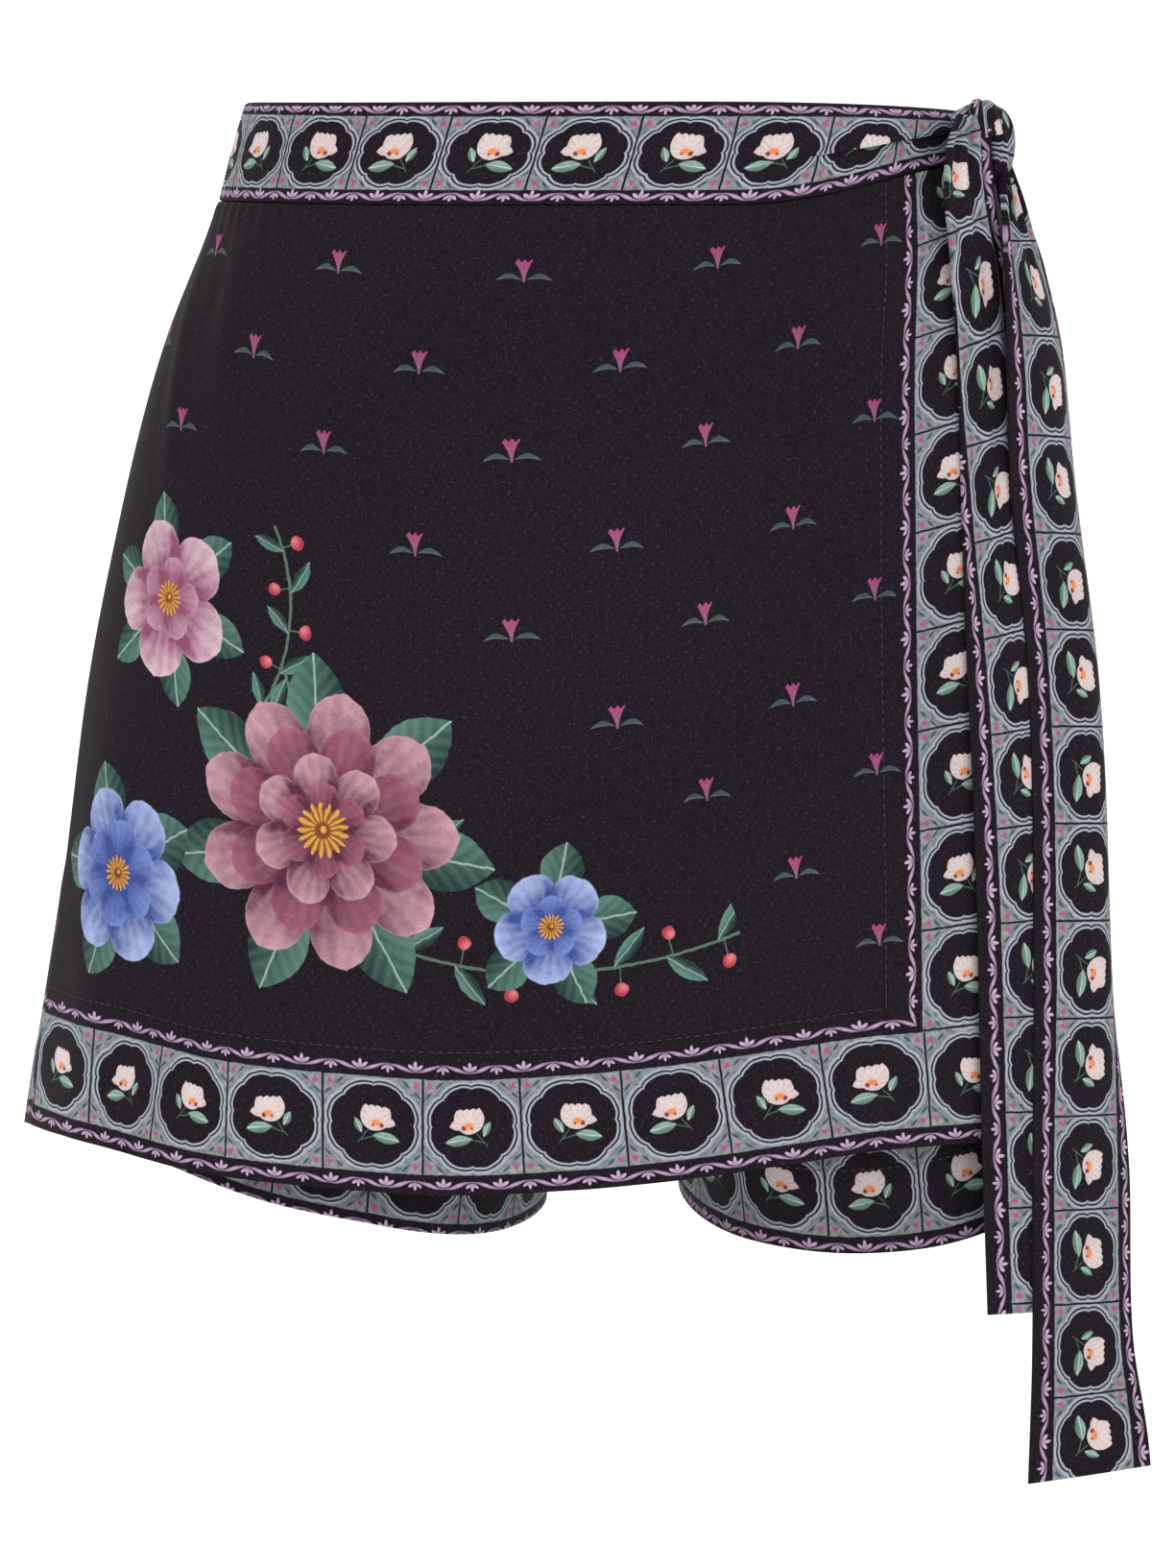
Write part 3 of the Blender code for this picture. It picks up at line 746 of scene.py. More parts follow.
class Wire:  # one value that runs through the nodes
    def __init__(self, tree, socket):
        self.tree, self.socket = tree, socket

    def __neg__(self):
        return self * -1.0

    def __abs__(self):
        return calc("ABSOLUTE", self)

    __add__ = __radd__ = operator("ADD")
    __mul__ = __rmul__ = operator("MULTIPLY")
    __sub__, __rsub__ = operator("SUBTRACT"), operator("SUBTRACT", True)
    __truediv__, __pow__ = operator("DIVIDE"), operator("POWER")


def madd(value, factor, addend, clamp=False):  # value * factor + addend in one node
    return calc("MULTIPLY_ADD", value, factor, addend, clamp=clamp)


def within(distance, soft=0.25):  # 1 where distance is below 0, in mm
    return madd(distance, -1.0 / soft, 0.5, clamp=True)


def over0(value):
    return calc("MAXIMUM", value, 0.0)


def alternate(cell):  # 1 in even cells, -1 in odd ones
    return madd(calc("FLOORED_MODULO", cell, 2.0), -2.0, 1.0)


def lengthOf(x, y):
    return calc("SQRT", madd(x, x, y * y))


def angleOf(y, x):
    return calc("ARCTAN2", y, x)


def turned(x, y, middle, degrees):  # local axes of a motif
    c, s = math.cos(math.radians(degrees)), math.sin(math.radians(degrees))
    dx, dy = x - middle[0], y - middle[1]
    return madd(dx, c, dy * s), madd(dy, c, dx * -s)


def linear(red, green, blue):  # a shown colour, 0 to 255, as light
    return tuple(((c / 255 + 0.055) / 1.055) ** 2.4 if c > 10 else c / 255 / 12.92
                 for c in (red, green, blue))


def mixed(tree, low, high, share):  # a colour between two
    node = addNode(tree, "Mix", {"Factor": share, "A": low, "B": high}, data_type="RGBA")
    return node.outputs["Result"]


class Paint:  # a ground that motifs are laid over in turn
    def __init__(self, tree, tones):
        self.tree, self.tones, self.colour = tree, tones, tones["ground"]

    def over(self, mask, tone, second=None, share=None):  # in one ink, or between two
        colour = self.tones[tone]
        if second:
            colour = mixed(self.tree, colour, self.tones[second], share)
        self.colour = mixed(self.tree, self.colour, colour, mask)


def readMap(tree, name):  # a piece's map, in mm
    place = addNode(tree, "UVMap", {}, uv_map=name)
    split = addNode(tree, "SeparateXYZ", {0: place.outputs["UV"]})
    return tuple(Wire(tree, split.outputs[axis]) * 1000.0 for axis in "XY")


def noise(tree, name, scale, fine=1.0, rough=0.5, stretch=None):  # 0 to 1, scale for each metre
    place = addNode(tree, "UVMap", {}, uv_map=name).outputs["UV"]
    if stretch:
        place = addNode(tree, "VectorMath", {0: place, 1: stretch}, operation="MULTIPLY").outputs[0]
    node = addNode(tree, "TexNoise", {
        "Scale": scale, "Detail": fine, "Roughness": rough, "Vector": place}, noise_dimensions="2D")
    return Wire(tree, node.outputs["Fac"])


# The printed motifs, all in mm
def inksOf(**shown):
    return {name: linear(*colour) for name, colour in shown.items()}


inks = inksOf(
    ground=(27, 20, 27), tileDark=(115, 121, 126), tileLight=(155, 161, 162), line=(170, 176, 184),
    navy=(46, 46, 62), petal=(224, 195, 191), petalLight=(224, 209, 206), petalDeep=(218, 162, 148),
    petalStreak=(206, 187, 188), heart=(236, 142, 78), heartDeep=(132, 50, 36),
    leaf=(150, 184, 168), leafLight=(194, 212, 201), leafDark=(72, 103, 90), bud=(180, 82, 120),
    budLeaf=(62, 84, 82), hatch=(84, 96, 112), vine=(151, 122, 152), vineLight=(204, 173, 203),
    sprig=(160, 70, 118), sprigPale=(140, 96, 120), sprigLeaf=(64, 82, 82),
    sprigLeafLight=(104, 114, 114))
sprigs = {  # mm
    "rowPitch": 31.3, "firstRow": 55.8, "rowMiddle": 74.6, "oddDrop": 2.0,
    "pitch": 65.8, "start": 26.2, "oddShift": 32.0, "foot": 3.4, "reach": 8.4, "eye": 0.8,
    # beside the spray: how far its edge moves in for each row, where it starts, its last row
    "sprayStep": 32.5, "sprayStart": 77.0, "sprayRows": 5.5, "lastRow": 8.5,
}


def layBlossom(paint, x, y):  # a scalloped bowl, its stem down
    stem = abs(madd(x, 1.3, y - 0.14)) - 0.3
    paint.over(within(stem) * within(abs(x - 3.6) - 1.8), "leafDark")
    twig = abs(madd(x, 0.28, y + 4.4)) - 0.22
    paint.over(within(twig) * within(abs(x - 2.0) - 2.4), "leafDark")
    layLeaf(paint, x, y, (-4.9, -4.8), 10, 5.0, 2.0)
    layLeaf(paint, x, y, (5.4, -0.6), 64, 3.0, 1.35)
    turn, reach = angleOf(x + 1.4, y - 0.4), lengthOf(x + 1.0, y - 3.2)
    scallop = abs(calc("SINE", madd(x, 1.32, 0.9)))
    top = madd(x, -0.09, y) - madd(scallop, 0.6, 6.35)
    run, aside = turned(x, y, (-5.2, 1.0), 12)
    corner = abs(aside) - madd(run * run, -0.2, 1.9)
    shape = calc("MINIMUM", calc("MAXIMUM", reach - 5.5, top), corner)
    petal = within(shape)
    streak = madd(calc("COSINE", turn * 15.0), 0.35, madd(reach, 0.1, 0.1), clamp=True)
    paint.over(petal, "petalLight", "petalStreak", streak)
    paint.over(petal * madd(shape, 0.9, 0.85, clamp=True) * 0.5, "petal")
    throat = madd(lengthOf(x + 1.4, madd(y, 1.3, -0.6)), -0.3, 1.0, clamp=True)
    paint.over(petal * throat * 0.65, "petalDeep")
    paint.over(within(lengthOf(x + 3.1, y + 0.2) - 0.85, 0.6), "heartDeep")
    paint.over(within(lengthOf(x + 1.2, madd(y, 1.5, -1.0)) - 1.6, 0.7), "heart")
    paint.over(within(lengthOf(x + 0.1, y + 0.3) - 0.45, 0.5), "heartDeep")


def layLeaf(paint, x, y, middle, degrees, half, wide):
    run, aside = turned(x, y, middle, degrees)
    share = run / half
    edge = madd(share * share, -wide, wide)
    tone = madd(aside * (1 / wide), 0.42, 0.5, clamp=True)
    paint.over(within(abs(aside) - edge), "leafDark", "leaf", tone)
    rib = within(abs(aside - 0.12) - madd(share, -0.1, 0.16)) * within(abs(run) - half * 0.88)
    paint.over(rib, "leafLight")


def layVine(paint, along, aside, upward, period):  # a wavy ribbon with tulips on either side
    half = period / 2
    cell = calc("FLOOR", along / half)
    run = madd(cell, -half, along) - half / 2
    side = alternate(cell)
    aside = aside * side
    size = madd(side * upward, 0.1, 1.05)
    wave = calc("COSINE", run * (math.pi / half))
    ribbon = abs(madd(wave, 1.25, aside)) - madd(wave * wave, -0.5, 0.64)
    paint.over(within(ribbon, 0.35), "vine", "vineLight", madd(aside, 0.4, 0.6, clamp=True))
    up = aside + 0.9
    turn, reach = angleOf(run, up), lengthOf(run, up)
    rim = madd(calc("COSINE", turn * 7.0), 0.75, 2.2) * madd(abs(turn), -4.5, 6.3, clamp=True)
    glow = madd(reach, 0.4, 0.0, clamp=True)
    paint.over(within(reach - rim * size, 0.4), "vine", "vineLight", glow)


def layBorder(paint, along, across, layout, upright=None, drift=0.0):
    # along starts at a tile's edge, across at the border's outer edge; the blossom stands
    # across the border, or along it where upright is 1
    pitch, strip, tall = layout["pitch"], layout["strip"], layout["tall"]
    cell = calc("FLOOR", along / pitch)
    x = madd(cell, -pitch, along) - pitch / 2
    y = across - (strip + tall / 2)
    offTile = abs(y) - (tall / 2 + layout["vine"])
    layVine(paint, along + drift, offTile, calc("SIGN", y), pitch * 0.5625)
    onTile = within(abs(y) - tall / 2)
    grain = madd(noise(paint.tree, "print", 420.0, 2.0), 2.2, -0.6, clamp=True)
    paint.over(onTile, "tileDark", "tileLight", grain)
    cornerX, cornerY = pitch / 2 - abs(x), tall / 2 - abs(y)
    out = (cornerX + cornerY) * 0.7071  # along the corner's diagonal, and off it
    off = abs(cornerX - cornerY) * 0.7071
    budLeaf = lengthOf((out - 5.7) * 2.0, (off - 2.9) * 0.62) - 1.0
    paint.over(within(budLeaf, 0.6), "budLeaf")
    bud = calc("MAXIMUM", madd(cornerY - 0.9, -0.55, abs(cornerX - 2.5)), cornerY - 3.4)
    paint.over(within(bud, 0.5) * within(0.5 - cornerY), "bud")
    wide, high = x * (2 / pitch), y * (2 / tall)
    squares = madd(wide, wide, high * high)
    four = wide * high * madd(wide, wide, high * high * -1.0) * 4.0 / (squares * squares)
    lobe = (calc("SQRT", squares) - 0.79) * ((pitch + tall) / 4)
    ring = madd((abs(four) + 0.001) ** 0.55, -1.15, lobe)
    hatch = within(abs(ring - 3.4) - 0.14) + within(abs(ring - 4.6) - 0.1) * 0.7
    inside = within(abs(x) - pitch / 2 + 0.4) * onTile
    paint.over(hatch * inside * 0.7, "hatch")
    paint.over(within(ring - 2.45) * onTile, "line")
    paint.over(within(abs(ring - 1.25) - 0.38) * onTile, "navy")
    paint.over(within(ring - 0.2) * onTile, "ground")
    paint.over(within(pitch / 2 - abs(x) - 0.42) * onTile, "ground")
    mirror = alternate(cell)
    if upright is None:
        layBlossom(paint, x * mirror, y)
    else:
        swap = 1.0 - upright
        layBlossom(paint, madd(x, swap, y * upright) * mirror, madd(y, swap, x * upright))


def laySprigs(paint, u, v, masked):  # a half-drop lattice of small tulips
    row = calc("FLOOR", (v - sprigs["firstRow"]) / sprigs["rowPitch"])
    odd = calc("FLOORED_MODULO", row, 2.0)
    y = madd(odd, sprigs["oddDrop"], v - madd(row, sprigs["rowPitch"], sprigs["rowMiddle"]))
    shifted = u - madd(odd, sprigs["oddShift"], sprigs["start"])
    cell = calc("FLOOR", shifted / sprigs["pitch"])
    x = madd(cell, -sprigs["pitch"], shifted) - sprigs["pitch"] / 2
    foot, side = y + sprigs["foot"], abs(x)
    share = (side - sprigs["eye"]) * (1 / sprigs["reach"])
    arch = calc("SINE", share * math.pi)
    leaf = abs(foot - madd(arch, 1.5, madd(share, -0.5, 0.9))) - arch * 0.95
    wing = within(leaf) * within(abs(share - 0.5) - 0.5, 0.05)
    bell = abs(madd(foot, -0.07, x)) - madd((over0(foot) * (1 / 8)) ** 1.8, 2.9, 0.35)
    lip = foot - madd(calc("COSINE", x * 2.9), 0.5, 7.6)
    flower = within(calc("MAXIMUM", bell, lip)) * within(-foot)
    shown = within(row - sprigs["lastRow"], 0.1)  # no row under the waistband
    if masked:  # none where the spray is printed
        sprayEdge = madd(row, sprigs["sprayStep"], sprigs["sprayStart"])
        above = calc("GREATER_THAN", row, sprigs["sprayRows"])
        shown = shown * calc("MAXIMUM", within((u - x) - sprayEdge, 0.1), above)
    tone = madd(foot, -0.5, 1.0, clamp=True)
    paint.over(wing * shown, "sprigLeaf", "sprigLeafLight", tone)
    paint.over(flower * shown, "sprigPale", "sprig", madd(foot, 0.16, -0.15, clamp=True))


# A generic garden spray: layered rosettes, open five-petal flowers and leafy garlands.
# Places are in mm, x to the right from the free edge (so below 0) and y up from the hem.
sprayInks = {**inks, **inksOf(
    roseDeep=(88, 40, 62), rose=(164, 100, 120), roseLight=(204, 158, 168),
    blueDeep=(62, 80, 146), blue=(124, 146, 208), blueLight=(178, 194, 236),
    pinkDeep=(140, 76, 104), pink=(196, 150, 174), pinkLight=(224, 196, 208),
    gold=(222, 164, 74), goldDeep=(120, 66, 40), stem=(84, 112, 96),
    leafDark=(34, 58, 54), leaf=(92, 130, 118), leafLight=(150, 178, 168),
    lilac=(150, 114, 178), lilacLight=(196, 166, 214), berry=(176, 58, 80),
    berryLight=(228, 132, 132))}
flowers = {"rose": (-256, 124), "left": (-344, 96), "upper": (-322, 196), "right": (-176, 92)}
spray = {
    # start and end are in degrees from straight down, leaf and wide are a leaf's half sizes
    "garlands": (
        {"middle": (-168, 300), "radius": 224, "start": -31, "end": 15, "pitch": 18.5,
         "leaf": 8.6, "wide": 2.9, "tip": "berry"},
        {"middle": (-196, 196), "radius": 76, "start": -78, "end": -8, "pitch": 15.5,
         "leaf": 7.2, "wide": 2.5, "tip": "star"},
        {"middle": (-330, 200), "radius": 62, "start": 38, "end": 118, "pitch": 14.5,
         "leaf": 6.5, "wide": 2.4, "tip": "berry"}),
    # leaves spread behind a flower: count, reach, turn, half width as a share of the cell
    "collars": (
        ("rose", 7, 62, 10, 0.58), ("left", 5, 40, 40, 0.6), ("upper", 6, 38, 20, 0.55),
        ("right", 5, 30, 66, 0.6)),
    # rings of petals, outer ones first: count, reach, turn, deep, light, how pointed
    "rings": (
        ("left", 6, 31, 8, "blueDeep", "blueLight", 0.35),
        ("left", 6, 19, 38, "blueDeep", "blue", 0.35),
        ("upper", 5, 29, 30, "pinkDeep", "pinkLight", 0.6),
        ("upper", 5, 15, 66, "pinkDeep", "pink", 0.5),
        ("right", 5, 20, 96, "blueDeep", "blueLight", 0.3),
        ("right", 5, 11, 60, "blueDeep", "blue", 0.3),
        ("rose", 9, 49, 0, "roseDeep", "roseLight", 0.5),
        ("rose", 8, 38, 21, "roseDeep", "rose", 0.5),
        ("rose", 7, 27, 5, "roseDeep", "roseLight", 0.45),
        ("rose", 6, 17, 30, "roseDeep", "rose", 0.4)),
    "hearts": (("left", 5.5), ("upper", 5.5), ("right", 4.0), ("rose", 8.5)),
}


def roundFlower(x, y, flower):
    dx, dy = x - flowers[flower][0], y - flowers[flower][1]
    return dx, dy, lengthOf(dx, dy), angleOf(dy, dx)


def petalCell(x, y, flower, count, turn):  # distance out, share across, half a cell's angle
    length, around = roundFlower(x, y, flower)[2:]
    half = math.pi / count
    side = calc("WRAP", around + math.radians(turn), half, -half) * (1 / half)
    return length, side, half


def layPetals(paint, x, y, mottle, flower, count, reach, turn, deep, light, point):
    length, side, half = petalCell(x, y, flower, count, turn)
    square = side * side
    rim = madd(square * square, -0.2 * reach, madd(abs(side), -0.24 * point * reach, reach))
    veins = calc("COSINE", madd(side, 16.0, mottle * 3.0))
    tone = madd(length / reach, 1.1, madd(side, 0.15, -0.3)) + madd(mottle, 0.7, -0.35)
    tone = madd(veins, 0.07, madd(square, -0.42, tone), clamp=True)
    petal = within(length - rim, 0.5)
    paint.over(petal, deep, light, tone)
    paint.over(petal * madd(rim - length, -0.55, 1.0, clamp=True) * 0.35, light)
    gap = (1.0 - abs(side)) * length * half - 0.3
    paint.over(within(gap, 0.6) * petal * 0.7, deep)


def layCollar(paint, x, y, flower, count, reach, turn, wide):
    length, side, half = petalCell(x, y, flower, count, turn)
    spread = calc("SINE", calc("MINIMUM", length / reach, 1.0) ** 1.6 * math.pi) * wide
    ribs = calc("SINE", madd(abs(side), -26.0, length * 0.9))
    leaf = within((abs(side) - spread) * length * half, 0.5) * within(length - reach, 0.5)
    paint.over(leaf, "leafDark", "leaf", madd(side, 0.9, madd(ribs, 0.12, 0.42), clamp=True))
    paint.over(leaf * within(abs(side) * length * half - 0.35, 0.4), "leafLight")


def layGarland(paint, x, y, middle, radius, start, end, pitch, leaf, wide, tip):
    dx, dy = x - middle[0], y - middle[1]
    start, end = math.radians(start), math.radians(end)
    off = lengthOf(dx, dy) - radius
    run = (angleOf(dx, dy * -1.0) - start) * radius  # 0 straight below the middle
    half = (end - start) * radius / 2
    onStem = within(abs(run - half) - half)
    paint.over(within(abs(off) - 0.55) * onStem, "stem")
    cell = calc("FLOOR", run / pitch)
    step = madd(cell, -pitch, run)
    aside = off * alternate(cell)
    leafRun, leafAside = turned(step, aside, (pitch * 0.62, leaf * 0.72), 44)
    share = leafRun * (1 / leaf)
    edge = madd(share * share, -wide, wide)
    blade = within(abs(leafAside) - edge) * within(abs(share) - 1.0, 0.05) * onStem
    paint.over(blade, "leafDark", "leaf", madd(leafAside, 0.3, 0.5, clamp=True))
    paint.over(blade * within(abs(leafAside) - 0.16), "leafLight")
    tipRun, tipAside = step - pitch * 0.4, aside + leaf * 0.95
    stalk = within(abs(tipRun) - 0.22) * within(abs(aside + leaf * 0.4) - leaf * 0.4)
    paint.over(stalk * onStem, "stem")
    length = lengthOf(tipRun, tipAside)
    if tip == "star":  # small five-petal blossoms
        rim = madd(calc("COSINE", angleOf(tipAside, tipRun) * 5.0), 0.9, 3.2)
        glow = madd(length, 0.3, 0.0, clamp=True)
        paint.over(within(length - rim, 0.4) * onStem, "lilac", "lilacLight", glow)
        paint.over(within(length - 0.9, 0.4) * onStem, "gold")
    else:
        glow = madd(lengthOf(tipRun - 0.8, tipAside - 0.8), -0.35, 0.9, clamp=True)
        paint.over(within(length - 2.4) * onStem, "berry", "berryLight", glow)


def layHeart(paint, x, y, mottle, flower, radius):  # stamens round a dark eye
    dx, dy, length, turn = roundFlower(x, y, flower)
    rays = calc("COSINE", madd(turn, 17.0, mottle * 6.0))
    ring = within(length - madd(rays, 0.14 * radius, radius), 0.6)
    paint.over(ring, "goldDeep", "gold", madd(rays, 0.45, 0.5))
    paint.over(within(length - radius * 0.36, 1.2), "goldDeep")
    paint.over(within(lengthOf(dx - 0.3, dy - 0.4) - radius * 0.14, 0.5), "gold")


# The cloths
cloth = {
    "roughness": 0.85, "gloss": 0.12, "sheen": 0.02, "sheenRough": 0.5,
    "weft": (520.0, 1900.0), "warp": (1900.0, 520.0), "patch": 9.0,  # features for each metre
    "speck": linear(92, 84, 96), "wrong": linear(52, 46, 52),
    "thread": (linear(48, 42, 50), linear(100, 92, 102)),
}
borders = {
    # pitch, the outer strip's height, the tile's, and how far the vine lies off the tile, in mm
    "wrap": {"pitch": 36.0, "strip": 8.6, "tall": 34.4, "vine": 3.8,
             # the hem's border is a little lower than the edge's is wide
             "hemStrip": 6.9, "hemTall": 32.9, "hemPitch": 36.5, "edgePitch": 35.0,
             "hemStart": 39.3, "edgeStart": 40.5,
             # along the hem: from where on the tiles are drawn out or in, and by how much
             "draws": ((292.0, 0.2), (250.0, -0.045), (321.0, 0.079), (353.0, -0.466))},
    "leg": {"pitch": 35.0, "strip": 8.6, "tall": 33.0, "vine": 3.8},
    "waist": {"pitch": 32.4, "strip": 5.4, "tall": 26.2, "vine": 2.5},
    "tie": {"pitch": 34.45, "strip": 8.5, "tall": 29.5, "vine": 3.6},
}


def startMaterial(name):
    material = bpy.data.materials.new(name)
    material.use_nodes = True
    return material, material.node_tree


def setShader(tree, inputs):
    setInputs(tree, tree.nodes["Principled BSDF"], inputs)


def wobbled(tree, u, v, size=0.22, mapName="print"):  # hand-drawn edges
    first, second = (noise(tree, mapName, scale) for scale in (260.0, 310.0))
    return madd(first - 0.5, size * 2, u), madd(second - 0.5, size * 2, v)


def startPrint(name, mapName="print", size=0.22, tones=inks):
    material, tree = startMaterial(name)
    u, v = wobbled(tree, *readMap(tree, mapName), size, mapName)
    return material, u, v, Paint(tree, tones)


def finishCloth(paint, weave=1.0, paintedShade=1.0):  # threads both ways, uneven as they are
    tree = paint.tree
    weft, warp = (noise(tree, "print", 1.0, 1.5, 0.5, cloth[way]) for way in ("weft", "warp"))
    patch = noise(tree, "print", cloth["patch"], 2.0)
    grain = madd(weft, 0.5, warp * 0.5)
    speck = madd(grain, 7.0, -3.95, clamp=True) * 0.24 * weave
    colour = mixed(tree, paint.colour, cloth["speck"], speck)
    # paintedShade below 1 darkens the whole cloth as painted shade
    tone = madd(grain, 0.8 * weave, madd(patch, 0.3, 0.85 - 0.4 * weave)) * paintedShade
    toned = addNode(tree, "VectorMath", {0: colour, "Scale": tone}, operation="SCALE")
    relief = addNode(tree, "Bump", {"Strength": 0.3, "Distance": 0.00015, "Height": grain})
    setShader(tree, {
        "Base Color": toned.outputs[0], "Normal": relief.outputs["Normal"],
        "Roughness": cloth["roughness"], "Specular IOR Level": cloth["gloss"],
        "Sheen Weight": cloth["sheen"], "Sheen Roughness": cloth["sheenRough"]})


# a paintedShade below 1 gives a copy of the border darkened by painted shade
def makeBorderCloth(name, kind, offset, paintedShade=1.0):
    material, along, across, paint = startPrint(name)
    layBorder(paint, along + offset, across, borders[kind])
    finishCloth(paint, paintedShade=paintedShade)
    return material


def makeWrapBorder():  # up the free edge and round into the hem
    material, u, v, paint = startPrint("wrapBorderPrint")
    layout = borders["wrap"]
    pitch, strip, tall = layout["pitch"], layout["strip"], layout["tall"]
    hemU, hemV = wobbled(paint.tree, *readMap(paint.tree, "hemPrint"))
    hemV = (hemV - layout["hemStrip"]) * (tall / layout["hemTall"]) + strip
    square = calc("MAXIMUM", calc("LESS_THAN", u, strip), calc("GREATER_THAN", hemV, strip + tall))
    upright = calc("GREATER_THAN", hemV, u) * square
    pulled = sum(over0(hemU - start) * rate for start, rate in layout["draws"])
    tilt = calc("MINIMUM", over0(hemU - 190.0) * 0.0014, 0.14)
    hemAlong = hemU + pulled + tilt * (strip + tall - 17.0 - hemV) - layout["hemStart"]
    hemAlong = hemAlong * (pitch / layout["hemPitch"]) + pitch
    slant = madd(v, 0.0009, 0.01, clamp=True) * (u - 43.5)
    edgeAlong = (v + slant - layout["edgeStart"]) * (pitch / layout["edgePitch"])
    along = madd(edgeAlong - hemAlong, upright, hemAlong)
    across = madd(u - hemV, upright, hemV)
    layBorder(paint, along + pitch * 40, across, layout, upright, madd(upright, -4.9, 6.8))
    finishCloth(paint)
    return material


def makeSprigCloth(name, mapName, masked):
    material, u, v, paint = startPrint(name, mapName, 0.15)
    laySprigs(paint, u, v, masked)
    finishCloth(paint)
    return material


def makeSprayCloth():
    material, u, v, paint = startPrint("sprayPrint", size=0.4, tones=sprayInks)
    x = -u
    mottle = noise(paint.tree, "print", 130.0, 3.0, 0.6)
    for plan in spray["garlands"]:
        layGarland(paint, x, v, **plan)
    for plan in spray["collars"]:
        layCollar(paint, x, v, *plan)
    for plan in spray["rings"]:
        layPetals(paint, x, v, mottle, *plan)
    for plan in spray["hearts"]:
        layHeart(paint, x, v, mottle, *plan)
    finishCloth(paint)
    return material


def makeWrongSide():  # the inside of the cloth, a fainter weave
    material, tree = startMaterial("wrongSide")
    finishCloth(Paint(tree, {"ground": cloth["wrong"]}), 0.6)
    return material


def makeWaistCloth(name, offset, leaning):  # the print leans where the band is pulled
    material, along, across, paint = startPrint(name)
    layout = borders["waist"]
    if leaning:
        lean = calc("MINIMUM", madd(along, 0.0035, -0.18), madd(along, 0.0018, -0.03))
        eased = along + calc("MINIMUM", madd(along, -0.046, 11.66), 6.0)
        along = eased - lean * (across - layout["strip"] - layout["tall"] / 2)
    layBorder(paint, along + offset, across, layout, None, -1.4)
    finishCloth(paint)
    return material


# The knot: three turns of tie round a small lumpy core
knot = {
    "middle": (133.2, -53.6, -21.0), "alongHeading": 50.0,  # mm, degrees from +X
    "core": (10.5, 5.5, 12.5), "cloth": 1.4, "cell": 0.8, "cells": 20, "edgePower": 8,
    # each turn: along the band, off it, up, width, curl; all mm but the curl
    "overTop": table(
        (0, -15, -2.5, 8.0, 7, 0.5), (1, -12, -0.5, 10.5, 8, 0.5), (2, -7, 1.5, 12.6, 9, 0.6),
        (3, -2, 3.0, 13.6, 10, 0.7), (4, 4, 3.0, 12.8, 10, 0.8), (5, 9, 1.0, 9, 9, 0.8),
        (6, 12, -1.5, 3, 8, 0.8)),
    "downFront": table(
        (0, 0, -5, 10, 10, 0.6), (1, -1, -1, 14.2, 11, 0.6), (2, -4, 4.5, 14.4, 12, 0.5),
        (3, -8.5, 8.0, 11.0, 13, 0.5), (4, -9.5, 9.2, 7.0, 14, 0.5), (5, -8.6, 9.4, 2.0, 15, 0.5)),
    "rightLoop": table(
        (0, -2, 1.5, 13.4, 9, 0.6), (1, 3, 5.0, 12.2, 12, 0.7), (2, 5.0, 7.0, 7.5, 15, 0.8),
        (3, 5.2, 7.6, 1.0, 16, 0.85), (4, 4.4, 7.2, -5.5, 14, 0.9), (5, 3.2, 6.6, -11.0, 11, 0.9),
        (6, 2.8, 6.0, -15.0, 9, 0.9)),
    # where on the tie's print each turn lies: run, from where to where across, share of its length
    "prints": {"overTop": (10, 34, 46, 1.0), "downFront": (118, 22, 44, 1.0),
               "rightLoop": (6, 4, 27, 0.8)},
}


def knotPlace(along, off, up):  # from the knot's own mm to the frame
    heading = math.radians(knot["alongHeading"])
    x = along * math.cos(heading) + off * math.sin(heading)
    y = along * math.sin(heading) - off * math.cos(heading)
    return (np.stack([x, y, up], axis=-1) + np.array(knot["middle"])) * mm


def makeTurn(kind, material):  # a flat turned tube bent along its rows
    rows = knot[kind]
    step = knot["cell"] / detail
    key = np.linspace(0, rows[-1, 0], 200)
    path = np.stack(readRows(rows, key), axis=-1)
    length = lengthAlong(path[None, :, :3], 1)[0]
    spots = np.linspace(0, length[-1], round(length[-1] / step) + 1)
    turns = readAt(spots, length, path)
    centre, (width, curl) = turns[:, :3], turns[:, 3:].T
    tangent = unit(np.gradient(centre, axis=0))
    outward = centre * np.array([0.5, 1.5, 0.9]) + np.array([0.0, 3.0, 0.0])
    outward = unit(outward - tangent * np.sum(outward * tangent, axis=1, keepdims=True))
    across = np.cross(outward, tangent)
    section = np.linspace(0, math.tau, 2 * round(knot["cells"] * detail) + 1)
    share = -np.cos(section)[None]  # -1 to 1 and back over the inner face
    side = np.where(section <= math.pi, 1.0, -1.0)[None]
    rim = (1 - np.abs(share) ** knot["edgePower"]) ** (1 / knot["edgePower"])
    bend = share * curl[:, None]
    half = (width / 2 / curl)[:, None]
    pleat = 0.45 * np.sin(share * 7 + spots[:, None] / 5)
    lift = half * (np.cos(bend) - 1) + pleat + side * rim * knot["cloth"] / 2
    spread = half * np.sin(bend)
    spot = centre[:, None] + across[:, None] * spread[..., None]
    spot = spot + outward[:, None] * lift[..., None]
    points = knotPlace(spot[..., 0], spot[..., 1], spot[..., 2])
    run, first, last, drawn = knot["prints"][kind]
    printed = blend(first, last, (share + 1) / 2) + 0 * spots[:, None]
    run = (run + spots * drawn)[:, None]
    piece = layCloth(kind, [material], points, {
        "print": paired(run * mm, printed * mm), "OFBake": bakeMap(points, 1.0)})
    closeTube(piece)
    return piece


